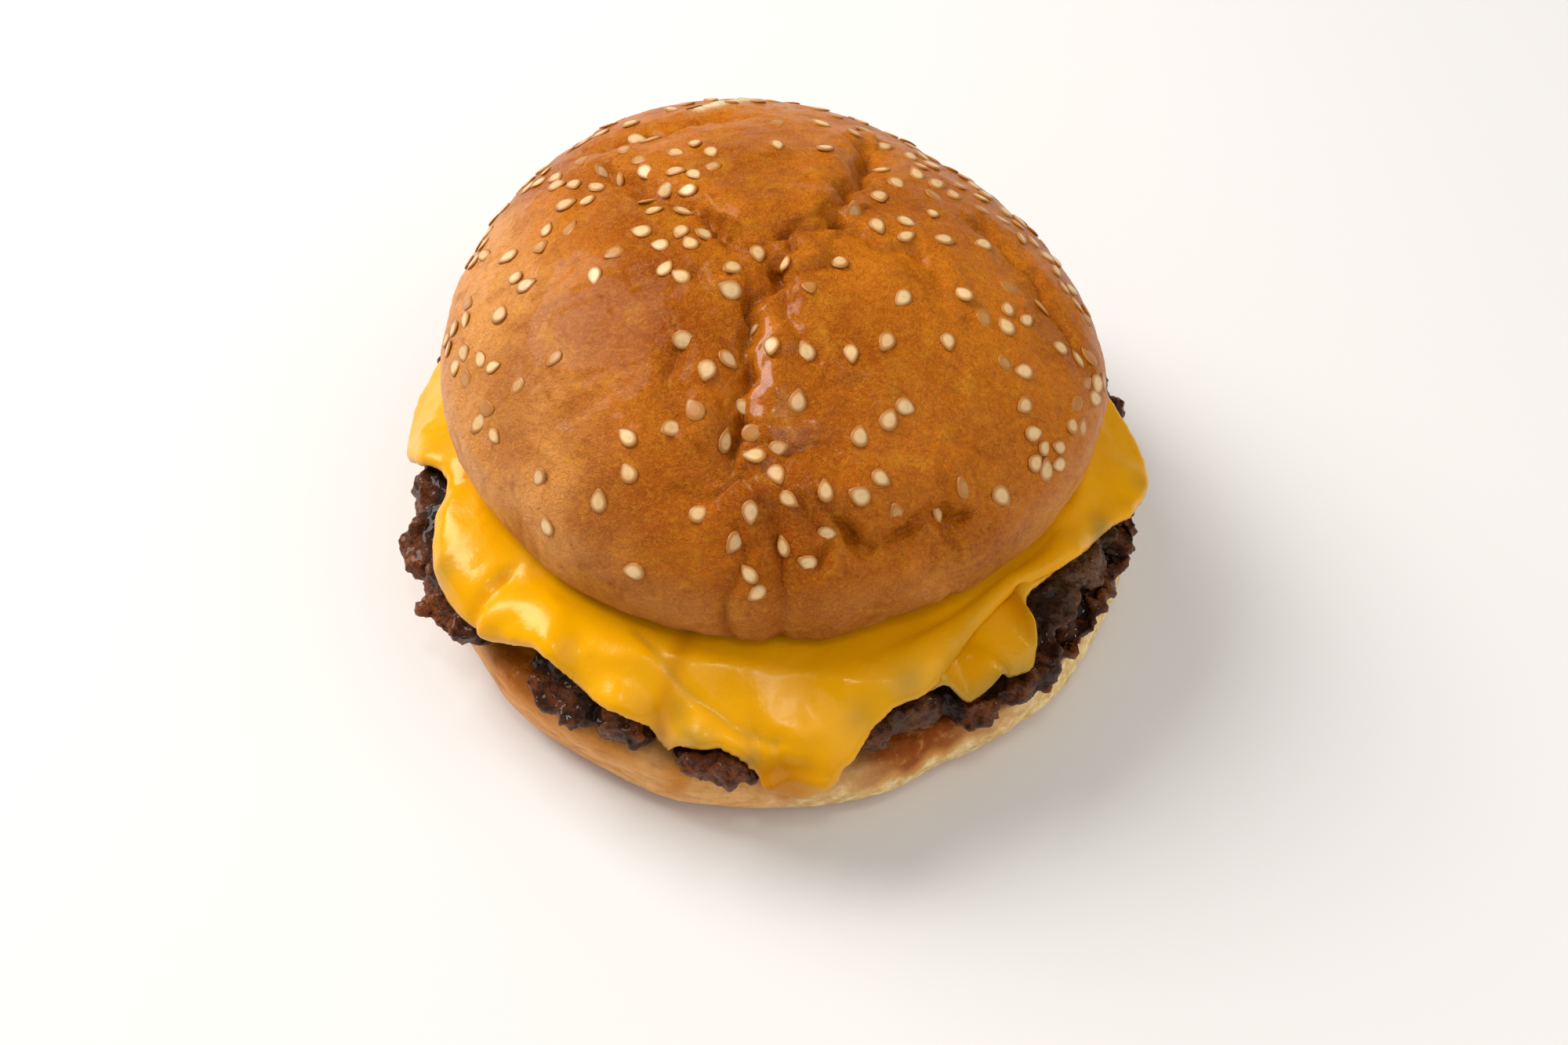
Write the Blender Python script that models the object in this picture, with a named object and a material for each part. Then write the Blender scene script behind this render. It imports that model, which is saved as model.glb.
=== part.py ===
"""Cheeseburger: bun crown, two melted cheese slices, beef patty and bun heel, resting on one another."""

import math

import bmesh
import bpy
from mathutils import Vector

MM = 0.001
SECTORS = 96  # divisions round every layer, so that neighbouring layers' facets nest
GAP = 0.4  # clearance between layers that rest on each other, mm
SHARP_DEGREES = 50  # edges that turn more than this stay sharp

# Bun heel: a flat-based round cut level, with its widest ring near the cut.
HEEL_RADIUS = 53.6
HEEL_HEIGHT = 13.0
HEEL_FOOT_RADIUS = 48.5
HEEL_PROFILE = (  # level over the height, share of the way from the foot's radius to the rim's, inset
    (1.0, 1.0, 1.3), (0.95, 1.0, 0.3), (0.82, 1.0, 0.0), (0.5, 0.98, 0.0),
    (0.25, 0.9, 0.7), (0.07, 0.62, 0.6), (0.0, 0.0, 0.8),
)
HEEL_DENTS = ((298, 7, -2.2), (213, 8, -1.4), (258, 12, 0.9), (60, 14, 0.8), (130, 12, -0.9))

# Beef patty: pressed thin, with a loose crumbled rim.
PATTY_THICKNESS = 8.4
PATTY_REACH = 53.6
PATTY_SHOULDER = 8.5  # the rim turns down over this breadth
PATTY_DROP = 6.5  # and this height
PATTY_OUTLINE = ((0.5, 2, 0.6), (0.4, 3, 2.0))  # slow waves round the rim: height, count, phase
PATTY_SWELLS = ((273, 9, 1.9), (205, 12, 1.0), (310, 12, 0.6), (18, 16, -1.5))  # broad bulges
PATTY_CHUNKS = (
    (181, 4, 1.6), (201, 5, 2.4), (212, 4, 2.6), (219, 3, 1.9), (226, 3, -2.4), (240, 5, 1.0),
    (249, 3, -1.6), (259, 5, 2.4), (268, 3, 1.2), (281, 4, 0.8), (294, 5, -2.6), (304, 4, 1.4),
    (313, 4, 1.9), (324, 5, -1.2), (339, 5, -0.7), (350, 7, -1.6), (14, 4, -1.2), (28, 5, 1.0),
    (41, 4, -1.0), (55, 5, 2.6), (70, 4, -1.8), (84, 5, 1.4), (98, 4, 2.6), (112, 4, -1.6),
    (126, 5, 1.8), (141, 4, -1.2), (155, 5, 2.4), (168, 4, -1.4), (192, 3, -2.2),
)

PATTY_TOP_RINGS = (20.0, 9.0, 5.6, 2.6)  # how far short of the reach the rings on top lie
PATTY_SIDE = ((0.66, -0.6), (0.46, 1.0), (0.26, 0.55), (0.07, -1.6))  # level over the thickness, swell
PATTY_RUFFLE = 0.6
RUFFLE_WAVES = ((0.45, 17, 2.1, 0.0), (0.35, 29, -3.7, 1.0), (0.2, 43, 5.3, 2.0))
COVER_SEARCH = range(-8, 9, 2)  # degrees to each side over which the cheese's lowest edge is sought
PATTY_FOOT = 49.0
COVER_MARGIN = 1.8  # the rim stays smooth down to this far below the cheese's edge
COVER_GAP = 0.7
TONGUE_RECESS = ((276, 8, 1.1), (181, 6, 0.4))  # the rim is pressed in where a slice's corner hangs down

# Cheese: two square slices, one turned about 45 degrees on the other, softened over the patty.
SLICE_THICKNESS = 1.9
SLICE_HALF_SIDE = 46.4
UPPER_CORNERS = (0, 86, 175, 273)
UPPER_LOBES = (
    (273.5, 4.8, 3.8), (287, 6, -3.4), (265, 4.5, -3.2), (242, 7, 3.2), (192, 7, -4.6), (4, 11, -5.6),
    (86, 9, -2.0), (175, 7, -1.0), (213, 10, 6.0), (225.5, 8.5, 4.9), (254, 4, 1.4), (20, 9, -4.4),
    (341, 6, -1.0),
)
UPPER_ROUNDNESS = 6.0
LOWER_CORNERS = (42, 131, 220, 308)
LOWER_LOBES = ((303, 2.6, 1.8), (312, 4, 1.4), (322, 6, -3.2), (220, 9, -2.2), (131, 6, 1.2), (42, 6, 1.0))
LOWER_HALF_SIDE = 43.6
LOWER_ROUNDNESS = 4.0
SPREAD = 1.1  # how far the upper slice takes to come down off the lower one, mm per mm of height
STEP_PAST = 0.9  # the upper slice starts down this far past the lower one's edge
STEP_SHARE = 0.93  # and no further out than this share of its own length
FLAT_SHARE = 0.97  # the slices leave the flat a little inside the patty's shoulder
INNER_STATION = 0.6
STEP_STATIONS = (0.0, 0.36, 0.7, 1.0)
RIM_STATIONS = (0.4, 0.85)
RIM_REST = 0.15  # extra clearance of the upper slice's rim over the patty
DRAPE_STEPS = 24

# Bun crown: a dome sitting a little back of the stack's middle, proved unevenly.
CROWN_X = -2.0
CROWN_Y = 3.5
CROWN_RADII = (48.4, 45.2, 45.5, 48.8, 50.6, 47.8, 46.4, 46.2, 46.2, 46.4, 46.8, 48.4)
CROWN_HEIGHT = 33.5
CROWN_SKIRT = 9.0  # height of the widest ring above the cut
CROWN_CUT_RATIO = 0.95  # cut face's radius over the widest
CROWN_SKIRT_RINGS = ((0.55, 0.11), (0.2, 0.52), (0.0, 1.0))  # level over the skirt, share of the way in
CROWN_CUT_INNER = 24.0  # radius of the ring that divides the cut face
CROWN_BENDS = (7, 14, 21, 28, 35, 42, 49, 56, 63, 71, 80, 90)  # degrees from the dome's top to its widest
CROWN_UPRIGHT = (1.15, 0.12)  # how steeply folds are sunk at the top and at the widest ring
FOLD_FADE = 0.4  # share of a fold's depth lost at the cut
DOME_POWER = 1.75

# Folds baked into the crown: depth, half-width, then the route in plan from the crown's middle.
CROWN_FOLDS = (
    (2.4, 2.6, ((1.6, -5.3), (1.4, -10.4), (-0.7, -18.9), (-1.5, -23.3), (-2.6, -33.3))),
    (0.7, 2.8, ((-2.6, -35.0), (-7.0, -38.2), (-11.6, -37.5))),
    (1.0, 2.2, ((-1.7, -31.3), (1.9, -31.9), (9.0, -31.8))),
    (0.8, 1.9, ((-2.4, -35.8), (1.9, -38.6), (3.8, -40.4), (3.7, -45.2))),
    (1.3, 2.4, ((11.7, -39.2), (17.4, -38.4), (25.7, -34.2))),
    (2.0, 2.8, ((-7.3, 1.5), (-3.2, -2.5), (1.5, -0.6), (5.4, 0.0), (9.8, 3.4))),
    (1.8, 2.6, ((9.8, 3.4), (10.8, 9.2), (12.9, 13.6), (14.6, 23.3))),
    (1.6, 3.0, ((-22.8, 17.7), (-18.1, 11.5), (-10.9, 5.8), (-7.3, 1.5))),
    (1.1, 2.8, ((-23.6, 25.2), (-13.9, 27.7), (-6.8, 29.7))),
    (1.2, 2.8, ((11.1, 3.6), (13.9, -0.1), (20.9, -1.8), (22.9, -5.5))),
    (0.9, 3.0, ((1.6, -5.9), (3.7, -16.0), (7.0, -21.1), (12.2, -23.6))),
    (0.6, 2.0, ((-11.9, -20.5), (-12.1, -24.3), (-10.0, -28.2))),
    (1.1, 2.4, ((31.3, 7.4), (35.1, 4.2), (42.3, -5.6))),
    (0.5, 3.4, ((-39.3, -16.2), (-36.2, -25.4), (-31.5, -33.6))),
)

PATTY_FLOOR = HEEL_HEIGHT + GAP
PATTY_TOP = PATTY_FLOOR + PATTY_THICKNESS
CROWN_FLOOR = PATTY_TOP + 3 * GAP + 2 * SLICE_THICKNESS

# name: colour, roughness, metallic
FINISHES = {
    "bun_crown": ((0.45, 0.17, 0.035), 0.35, 0.0),
    "cheese_upper": ((0.85, 0.47, 0.015), 0.32, 0.0),
    "cheese_lower": ((0.83, 0.48, 0.03), 0.36, 0.0),
    "patty": ((0.055, 0.022, 0.013), 0.45, 0.0),
    "bun_heel": ((0.66, 0.42, 0.19), 0.7, 0.0),
}


def turn(degrees):
    """An angle brought into -180..180 degrees."""
    return (degrees + 180.0) % 360.0 - 180.0


def bumps(degrees, table):
    """Sum of the named swellings (angle, half-width, height) at this angle."""
    total = 0.0
    for centre, width, height in table:
        total += height * math.exp(-((turn(degrees - centre) / width) ** 2))
    return total


def ruffle(degrees, level):
    """Small repeatable unevenness between -1 and 1."""
    a = math.radians(degrees)
    return sum(h * math.sin(count * a + twist * level + phase) for h, count, twist, phase in RUFFLE_WAVES)


def angles():
    return [360.0 * k / SECTORS for k in range(SECTORS)]


def polar(degrees, radius, height):
    a = math.radians(degrees)
    return Vector((radius * math.cos(a), radius * math.sin(a), height))


def patty_reach(degrees):
    """The patty's reach with the crumbled rim smoothed away: what the cheese lies over."""
    a = math.radians(degrees)
    waves = sum(height * math.sin(count * a + phase) for height, count, phase in PATTY_OUTLINE)
    return PATTY_REACH + waves + bumps(degrees, PATTY_SWELLS)


def drape(degrees, along, lift):
    """Point on a sheet `lift` above the patty, `along` mm from the middle measured over its rim."""
    flat = patty_reach(degrees) - PATTY_SHOULDER
    if along <= flat:
        return polar(degrees, along, PATTY_TOP + lift)
    radius, height, left = flat, PATTY_TOP, along - flat
    across, down = 0.0, 1.0
    for k in range(1, DRAPE_STEPS + 1):
        bend = 0.5 * math.pi * k / DRAPE_STEPS
        r = flat + PATTY_SHOULDER * math.sin(bend)
        z = PATTY_TOP - PATTY_DROP * (1.0 - math.cos(bend))
        step = math.hypot(r - radius, z - height)
        if step >= left:
            part = left / step
            bend -= 0.5 * math.pi / DRAPE_STEPS * (1.0 - part)
            radius += (r - radius) * part
            height += (z - height) * part
            left = 0.0
        else:
            radius, height, left = r, z, left - step
        across = math.sin(bend) / PATTY_SHOULDER
        down = math.cos(bend) / PATTY_DROP
        if left == 0.0:
            break
    height -= left
    size = math.hypot(across, down)
    return polar(degrees, radius + lift * across / size, height + lift * down / size)


def slice_reach(degrees, corners, half_side, roundness, lobes):
    """Length over the drape to a softened square slice's edge."""
    for k, corner in enumerate(corners):
        span = (corners[(k + 1) % 4] - corner) % 360.0
        past = (degrees - corner) % 360.0
        if past < span:
            a = math.radians(90.0 * past / span - 45.0)
            size = abs(math.cos(a)) ** roundness + abs(math.sin(a)) ** roundness
            return half_side * size ** (-1.0 / roundness) + bumps(degrees, lobes)
    return half_side


def upper_reach(degrees):
    return slice_reach(degrees, UPPER_CORNERS, SLICE_HALF_SIDE, UPPER_ROUNDNESS, UPPER_LOBES)


def lower_reach(degrees):
    return slice_reach(degrees, LOWER_CORNERS, LOWER_HALF_SIDE, LOWER_ROUNDNESS, LOWER_LOBES)


def cheese_edge_height(degrees):
    """Height of the cheese's lowest edge near this angle: above it the patty is covered."""
    lowest = PATTY_TOP
    for offset in COVER_SEARCH:
        a = degrees + offset
        reach = max(upper_reach(a), lower_reach(a))
        lowest = min(lowest, drape(a, reach, 0.0).z)
    return lowest


def add_solid(name, rings, top, foot):
    """A UV sphere reshaped ring by ring, from the top's middle out, down, and back to the foot's middle."""
    mesh = bpy.data.meshes.new(name)
    bm = bmesh.new()
    parallels = len(rings) + 1
    bmesh.ops.create_uvsphere(bm, u_segments=SECTORS, v_segments=parallels, radius=1.0)
    for vertex in bm.verts:
        ring = round(parallels * math.acos(max(-1.0, min(1.0, vertex.co.z))) / math.pi)
        sector = round(SECTORS * math.atan2(vertex.co.y, vertex.co.x) / math.tau) % SECTORS
        if ring == 0:
            vertex.co = top
        elif ring == parallels:
            vertex.co = foot
        else:
            vertex.co = rings[ring - 1][sector]
    bmesh.ops.triangulate(bm, faces=bm.faces, quad_method="FIXED")
    bmesh.ops.recalc_face_normals(bm, faces=bm.faces)
    bm.to_mesh(mesh)
    bm.free()
    mesh.shade_smooth()
    mesh.set_sharp_from_angle(angle=math.radians(SHARP_DEGREES))
    mesh.materials.append(finish(name))
    solid = bpy.data.objects.new(name, mesh)
    bpy.context.scene.collection.objects.link(solid)
    return solid


def finish(name):
    """The layer's Principled material."""
    colour, roughness, metallic = FINISHES[name]
    material = bpy.data.materials.new(name)
    material.use_nodes = True
    shader = material.node_tree.nodes["Principled BSDF"]
    shader.inputs["Base Color"].default_value = (*colour, 1.0)
    shader.inputs["Roughness"].default_value = roughness
    shader.inputs["Metallic"].default_value = metallic
    return material


def heel():
    """Flat foot, rounded lower edge, side leaning out a little to the cut."""
    rings = []
    for level, share, inset in HEEL_PROFILE:
        ring = []
        for a in angles():
            rim = HEEL_RADIUS + bumps(a, HEEL_DENTS)
            radius = HEEL_FOOT_RADIUS + (rim - HEEL_FOOT_RADIUS) * share - inset
            ring.append(polar(a, radius, HEEL_HEIGHT * level))
        rings.append(ring)
    return add_solid("bun_heel", rings, (0, 0, HEEL_HEIGHT), (0, 0, 0))


def patty():
    """Smooth where the cheese lies on it, crumbled into chunks where it shows."""
    rings = []
    for short in PATTY_TOP_RINGS:
        rings.append([drape(a, patty_reach(a) - short, 0.0) for a in angles()])
    for n, (level, swell) in enumerate(PATTY_SIDE):
        ring = []
        for a in angles():
            height = PATTY_FLOOR + PATTY_THICKNESS * level
            if n < len(PATTY_SIDE) - 1:
                height += PATTY_RUFFLE * ruffle(a, n + 3)
            radius = patty_reach(a) + bumps(a, PATTY_CHUNKS) + swell + PATTY_RUFFLE * ruffle(a, n)
            if height > cheese_edge_height(a) - COVER_MARGIN:
                fall = min(1.0, (PATTY_TOP - height) / PATTY_DROP)
                lean = math.sqrt(1.0 - (1.0 - fall) ** 2)
                recess = COVER_GAP + bumps(a, TONGUE_RECESS)
                radius = min(radius, patty_reach(a) - PATTY_SHOULDER * (1.0 - lean) - recess)
            ring.append(polar(a, radius, height))
        rings.append(ring)
    rings.append([polar(a, PATTY_FOOT + PATTY_RUFFLE * ruffle(a, 9), PATTY_FLOOR) for a in angles()])
    return add_solid("patty", rings, (0, 0, PATTY_TOP), (0, 0, PATTY_FLOOR))


def stations(degrees, reach):
    """Lengths over the drape where a slice's rings lie: both slices share those under the lower one."""
    whole = reach(degrees)
    step = min(lower_reach(degrees) + STEP_PAST, STEP_SHARE * whole)
    base = FLAT_SHARE * min(patty_reach(degrees) - PATTY_SHOULDER, step)
    inner = [INNER_STATION * base] + [base + (step - base) * share for share in STEP_STATIONS]
    return inner + [step + (whole - step) * share for share in RIM_STATIONS] + [whole]


def cheese(name, reach, lift):
    """A slice of even thickness following the drape, ending in a rounded edge. `lift` is its underside's."""
    above, below = [], []
    for a in angles():
        along = stations(a, reach)
        above.append([drape(a, s, lift(a, s) + SLICE_THICKNESS) for s in along[:-1]])
        above[-1].append(drape(a, along[-1], lift(a, along[-1]) + 0.5 * SLICE_THICKNESS))
        below.append([drape(a, s, lift(a, s)) for s in along[:-1]])
    rings = [list(ring) for ring in zip(*above)] + [list(ring) for ring in zip(*below)][::-1]
    base = PATTY_TOP + lift(0.0, 0.0)
    return add_solid(name, rings, (0, 0, base + SLICE_THICKNESS), (0, 0, base))


def lower_lift(degrees, along):
    return GAP


def upper_lift(degrees, along):
    """Over the lower slice the upper rides on it; past that slice's edge it sinks towards the patty."""
    high = 2 * GAP + SLICE_THICKNESS
    past = along - lower_reach(degrees) - STEP_PAST
    if past <= 0.0:
        return high
    return max(GAP + RIM_REST, high - past / SPREAD)


def fold_depth(x, y):
    """How far the crown's folds sink its skin at this plan position."""
    total = 0.0
    for depth, width, route in CROWN_FOLDS:
        nearest = 1e9
        for (x0, y0), (x1, y1) in zip(route, route[1:]):
            dx, dy = x1 - x0, y1 - y0
            t = ((x - x0) * dx + (y - y0) * dy) / (dx * dx + dy * dy)
            t = max(0.0, min(1.0, t))
            nearest = min(nearest, math.hypot(x - x0 - t * dx, y - y0 - t * dy))
        total = max(total, depth * math.exp(-((nearest / width) ** 2)))
    return total


def crown_radius(degrees):
    """Widest radius at this angle, eased through the values round the dome."""
    count = len(CROWN_RADII)
    place = (degrees % 360.0) * count / 360.0
    k = int(place) % count
    t = place - int(place)
    a, b, c, d = (CROWN_RADII[(k + o) % count] for o in (-1, 0, 1, 2))
    return b + 0.5 * t * (c - a + t * (2 * a - 5 * b + 4 * c - d + t * (3 * (b - c) + d - a)))


def crown():
    """Superellipse dome over a rounded skirt, with the folds sunk into it."""
    rings = []
    rise = CROWN_HEIGHT - CROWN_SKIRT
    steep, flat = CROWN_UPRIGHT
    for bend in CROWN_BENDS:
        b = math.radians(bend)
        share = math.sin(b) ** (2.0 / DOME_POWER)
        height = CROWN_FLOOR + CROWN_SKIRT + rise * max(0.0, math.cos(b)) ** (2.0 / DOME_POWER)
        ring = []
        for a in angles():
            p = polar(a, crown_radius(a) * share, height)
            slope = Vector((math.cos(math.radians(a)) * share, math.sin(math.radians(a)) * share, 0))
            outward = (slope + Vector((0, 0, steep * (1.0 - share) + flat))).normalized()
            ring.append(p - outward * fold_depth(p.x, p.y) + Vector((CROWN_X, CROWN_Y, 0)))
        rings.append(ring)
    for level, inset in CROWN_SKIRT_RINGS:
        ring = []
        for a in angles():
            radius = crown_radius(a) * (1.0 - (1.0 - CROWN_CUT_RATIO) * inset)
            p = polar(a, radius, CROWN_FLOOR + CROWN_SKIRT * level)
            sunk = fold_depth(p.x, p.y) * (1.0 - FOLD_FADE * (1.0 - level))
            ring.append(polar(a, radius - sunk, p.z) + Vector((CROWN_X, CROWN_Y, 0)))
        rings.append(ring)
    rings.append([polar(a, CROWN_CUT_INNER, CROWN_FLOOR) + Vector((CROWN_X, CROWN_Y, 0)) for a in angles()])
    top = (CROWN_X, CROWN_Y, CROWN_FLOOR + CROWN_HEIGHT - fold_depth(0.0, 0.0))
    return add_solid("bun_crown", rings, top, (CROWN_X, CROWN_Y, CROWN_FLOOR))


def centre_on_box(solids):
    """Puts the stack's box centre over x = y = 0 and its foot at z = 0, in metres."""
    points = [v.co for s in solids for v in s.data.vertices]
    shift = Vector(
        (
            -0.5 * (min(p.x for p in points) + max(p.x for p in points)),
            -0.5 * (min(p.y for p in points) + max(p.y for p in points)),
            -min(p.z for p in points),
        )
    )
    for solid in solids:
        for vertex in solid.data.vertices:
            vertex.co = (vertex.co + shift) * MM
        solid.data.update()


for old in list(bpy.data.objects):
    bpy.data.objects.remove(old)

centre_on_box(
    [
        heel(),
        patty(),
        cheese("cheese_lower", lower_reach, lower_lift),
        cheese("cheese_upper", upper_reach, upper_lift),
        crown(),
    ]
)
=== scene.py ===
"""Cheeseburger: seeded egg-washed bun, two melted cheese slices, a crumbled beef patty and a soft heel."""

import math
import random

import bpy
import numpy as np
from mathutils import Matrix, Vector
from mathutils.bvhtree import BVHTree


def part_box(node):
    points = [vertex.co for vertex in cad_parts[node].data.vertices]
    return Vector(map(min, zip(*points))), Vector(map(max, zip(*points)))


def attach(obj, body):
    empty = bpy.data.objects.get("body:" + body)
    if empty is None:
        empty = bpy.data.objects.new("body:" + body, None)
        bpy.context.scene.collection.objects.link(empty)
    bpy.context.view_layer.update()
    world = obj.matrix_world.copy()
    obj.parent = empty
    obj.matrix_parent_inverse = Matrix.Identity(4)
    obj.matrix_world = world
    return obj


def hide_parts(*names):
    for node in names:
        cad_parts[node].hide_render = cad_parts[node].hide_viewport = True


bl_info = {
    "name": "Cheeseburger",
    "version": (1, 0, 0),
    "blender": (4, 5, 0),
    "location": "3D View > Sidebar > Burger",
    "description": "Dresses the cheeseburger's layers: bun, seeds, cheese, patty and their studio",
    "category": "Add Mesh",
}

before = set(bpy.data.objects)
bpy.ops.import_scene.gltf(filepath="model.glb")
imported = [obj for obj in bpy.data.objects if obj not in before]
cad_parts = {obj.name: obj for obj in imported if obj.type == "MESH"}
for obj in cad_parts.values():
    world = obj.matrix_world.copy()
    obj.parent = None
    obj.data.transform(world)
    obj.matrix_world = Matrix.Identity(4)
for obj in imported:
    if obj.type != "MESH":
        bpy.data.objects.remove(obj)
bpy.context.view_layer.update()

MM = 0.001
SEED = 7  # every scatter starts from this, so each run gives the same burger

# ---- Places, in mm, worked out from the frame's layers ----

HEEL_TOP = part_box("bun_heel")[1][2] / MM
PATTY_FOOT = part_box("patty")[0][2] / MM
PATTY_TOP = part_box("patty")[1][2] / MM
CROWN_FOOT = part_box("bun_crown")[0][2] / MM
MIDDLE = np.array([0.553, 1.063])  # the heel's, patty's and cheese's own middle
CROWN_MIDDLE = MIDDLE + np.array([-2.0, 3.5])
RIM = 53.6  # the patty's reach
SHOULDER = 8.5  # breadth over which the cheese turns down
DROP = 6.5  # and the height it loses there
UP = np.array([0.0, 0.0, 1.0])
MERGE = 0.002  # copied triangles' corners closer than this are joined
STEPS_GONE = 8  # rounds of smoothing that take out the remesh's steps

# Folds of the crown, in mm from its middle: depth, lip, reach left, reach right, route. Left and right are
# as seen walking along the route. A short reach is a steep wall, and a lip stands up on the left.
FOLDS = (
    (1.7, 1, 0.5, 3.6,
     ((3.2, -3.6), (1.6, -8.4), (-1.6, -13.4), (-1.4, -17.5), (-1.9, -24.3), (-3.4, -33.6))),
    (0.5, 0.3, 1.6, 1.8, ((-2.6, -34.6), (-5.4, -36.6), (-11.6, -36.4))),
    (0.7, 0, 1.5, 1.1, ((-1.7, -31.3), (1.9, -31.9), (6, -31.1), (10.5, -31.9))),
    (1, 0.3, 0.6, 0.8, ((-2.8, -35.4), (0.4, -37.4), (2.6, -40.6), (3, -43.2), (2, -46))),
    (0.9, 0.2, 0.8, 1.3, ((-2.6, -40.5), (-2.2, -43.4), (-4.4, -46))),
    (1, 0.3, 1, 0.8, ((5.2, -38.2), (8.4, -40.6), (8, -43))),
    (1.4, 0.9, 0.6, 1.6, ((10.6, -38.6), (13.1, -40.3), (17.4, -38.4), (21.4, -36.4), (25.7, -34.2))),
    (0.7, 0.3, 0.9, 1.4, ((23.3, -31), (24, -34.8), (26, -37.6))),
    (0.5, 0.2, 0.9, 1.2, ((16.5, -38.6), (18.6, -40.6), (17.4, -42.4))),
    (1.3, 0.6, 1.8, 0.8, ((-7.3, 1.5), (-3.2, -2.5), (1.5, -0.6), (5.4, 0), (9.8, 3.4))),
    (1.3, 0.6, 1.7, 0.8, ((9.8, 3.4), (10.8, 9.2), (12.9, 13.6), (14.6, 23.3))),
    (1.3, 0.4, 1.6, 1.1, ((-22.8, 17.7), (-18.1, 11.5), (-10.9, 5.8), (-7.3, 1.5))),
    (0.9, 0.2, 1.6, 1.6, ((-23.6, 25.2), (-20.6, 25.8), (-13.9, 27.7), (-6.8, 29.7))),
    (1, 0.5, 0.8, 2.2, ((9.8, 3.4), (13.9, -0.1), (20.9, -1.8), (22.9, -5.5))),
    (0.8, 0.3, 1.3, 1.6, ((1.6, -5.9), (3, -11.1), (3.7, -16), (7, -21.1), (12.2, -23.6))),
    (0.8, 0.6, 1.2, 0.9, ((-11.3, -18.6), (-11, -21), (-12.6, -23.7), (-10.2, -28.2))),
    (0.9, 0.5, 0.8, 1.8, ((31.3, 7.4), (35.1, 4.2), (38.5, 0.1), (42.6, -6))),
    (0.4, 0, 3, 3, ((-39.3, -16.2), (-36.2, -25.4), (-31.5, -33.6))),
    (0.7, 0.2, 1.4, 2.6, ((-5.5, -1), (-3.3, -6), (-1.6, -11), (-1.6, -17))),
    (0.6, 0.2, 1, 1.2, ((-8.8, -8), (-7, -11), (-2.5, -12.6))),
    (0.6, 0.2, 1.2, 1, ((2, -9), (6.5, -8.2), (9.4, -5.4))),
)
# Half-widths in a fold's section: the slit at its bottom, its lip, its sharp edges, the puckers beside it.
SLIT, LIP, EDGE, PUCKER = 0.55, 2.2, 0.6, 4.0
# Pits and blisters: (x, y, reach, depth or height).
PITS = (
    (30, 9.5, 1.6, 1.2), (13.6, 19.5, 1.6, 1), (12, -39.6, 1.3, 1.1), (-1.9, -34.4, 1.5, 0.9),
)
BLISTERS = (
    (-2.6, -10.5, 2.2, 0.8), (2.9, -25.5, 2, 0.5), (-7.5, -28, 3.4, 0.8), (5.5, -35.6, 3, 0.8),
    (-14.5, -23.5, 2.4, 0.6), (17.5, -6, 4.5, 0.7), (-13, 9, 3, 0.6), (8, -43, 1.8, 0.5),
)
HIGHEST, DEEPEST = 1.6, 3.0  # limits of all of these together
# Where the crust tore at the far side and shows its crumb, and how wide.
TEAR = ((-10.5, 34.5), (-7.4, 35.8), (-4.1, 39.6))
TEAR_WIDTH = 1.2
# Where the skin is painted deep: mostly where the oven browned it most, while the spot at (26, 12) is painted
# shade on the right top: (x, y, reach, share).
BROWNED_AND_SHADED = (
    (-14, -6, 8, 0.95), (-19, 4, 7, 0.7), (-11, -17, 9, 0.95), (-10, -26, 7, 0.6), (26, 12, 11, 0.5),
    (2, -38, 13, 0.9), (-12, -36, 12, 0.7), (24, -24, 14, 0.35), (12, -14, 9, 0.3), (-4, -8, 7, 0.35),
    (-22, -20, 10, 0.3), (4, 12, 12, 0.2), (34, 30, 12, 0.4), (-30, 34, 12, 0.4),
)
# Where egg wash pooled and dried shiny: (x, y, reach across, reach along, share).
WET = ((2.5, -30.0, 4.5, 6.0, 1.0), (1.0, -22.0, 4.0, 10.0, 0.6))

# Radii at which angles round the cheese are turned to mm, for its swellings and for its ridges.
SWELL_GIRTH, RIDGE_GIRTH = 52.0, 50.0
# Swellings of the melted slices: (angle, length over the drape, half-widths across and along, height), in
# degrees and mm. A negative height is a hollow.
CHEESE_SWELLS = {
    "cheese_upper": (
        (211, 49.5, 8, 4, 0.9), (235, 49.5, 3.2, 2.6, 0.4), (247, 50.5, 3.2, 3, 1.5),
        (250, 53.5, 2.4, 1.8, 0.8), (256, 46.5, 3.4, 2.6, 0.9), (253, 51.5, 1.8, 2.4, -1.1),
        (260, 51, 2, 1.8, 1.4), (262, 54.2, 2, 1.4, 1.1), (272, 60, 2.6, 2.4, -1.2),
        (272.5, 64.5, 2.8, 2, 0.9), (281, 55.5, 1.2, 1, -1.8), (278, 54, 1.6, 2.6, 0.7),
        (291, 47.5, 5, 2, -0.5), (352, 50, 3, 3, 0.9), (344, 51, 2, 1.6, 0.7), (335, 47.5, 3, 2, -0.6),
        (190, 49, 3, 3, 0.8), (198, 48, 2, 4, -0.7), (20, 49, 4, 3, 0.8), (50, 50, 4, 3, -0.8),
        (65, 50.5, 4, 3, 1), (100, 51, 4, 3, 0.9), (110, 48, 3, 3, -0.8), (128, 49, 4, 3, 0.8),
        (150, 50, 3, 3, -0.7), (163, 49.5, 4, 3, 0.9),
    ),
    "cheese_lower": ((304, 52, 2.6, 2, 0.6), (311, 51, 2.4, 2.4, 0.6), (230, 51, 3, 2, 0.5)),
}
# The cut edge that shows through the melted top, as angle and length over the drape.
SLICE_CUT = ((245.2, 43.5), (251, 45.4), (256.5, 47.2), (261.8, 48.8), (266.5, 50.4), (271, 51.3))
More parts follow.
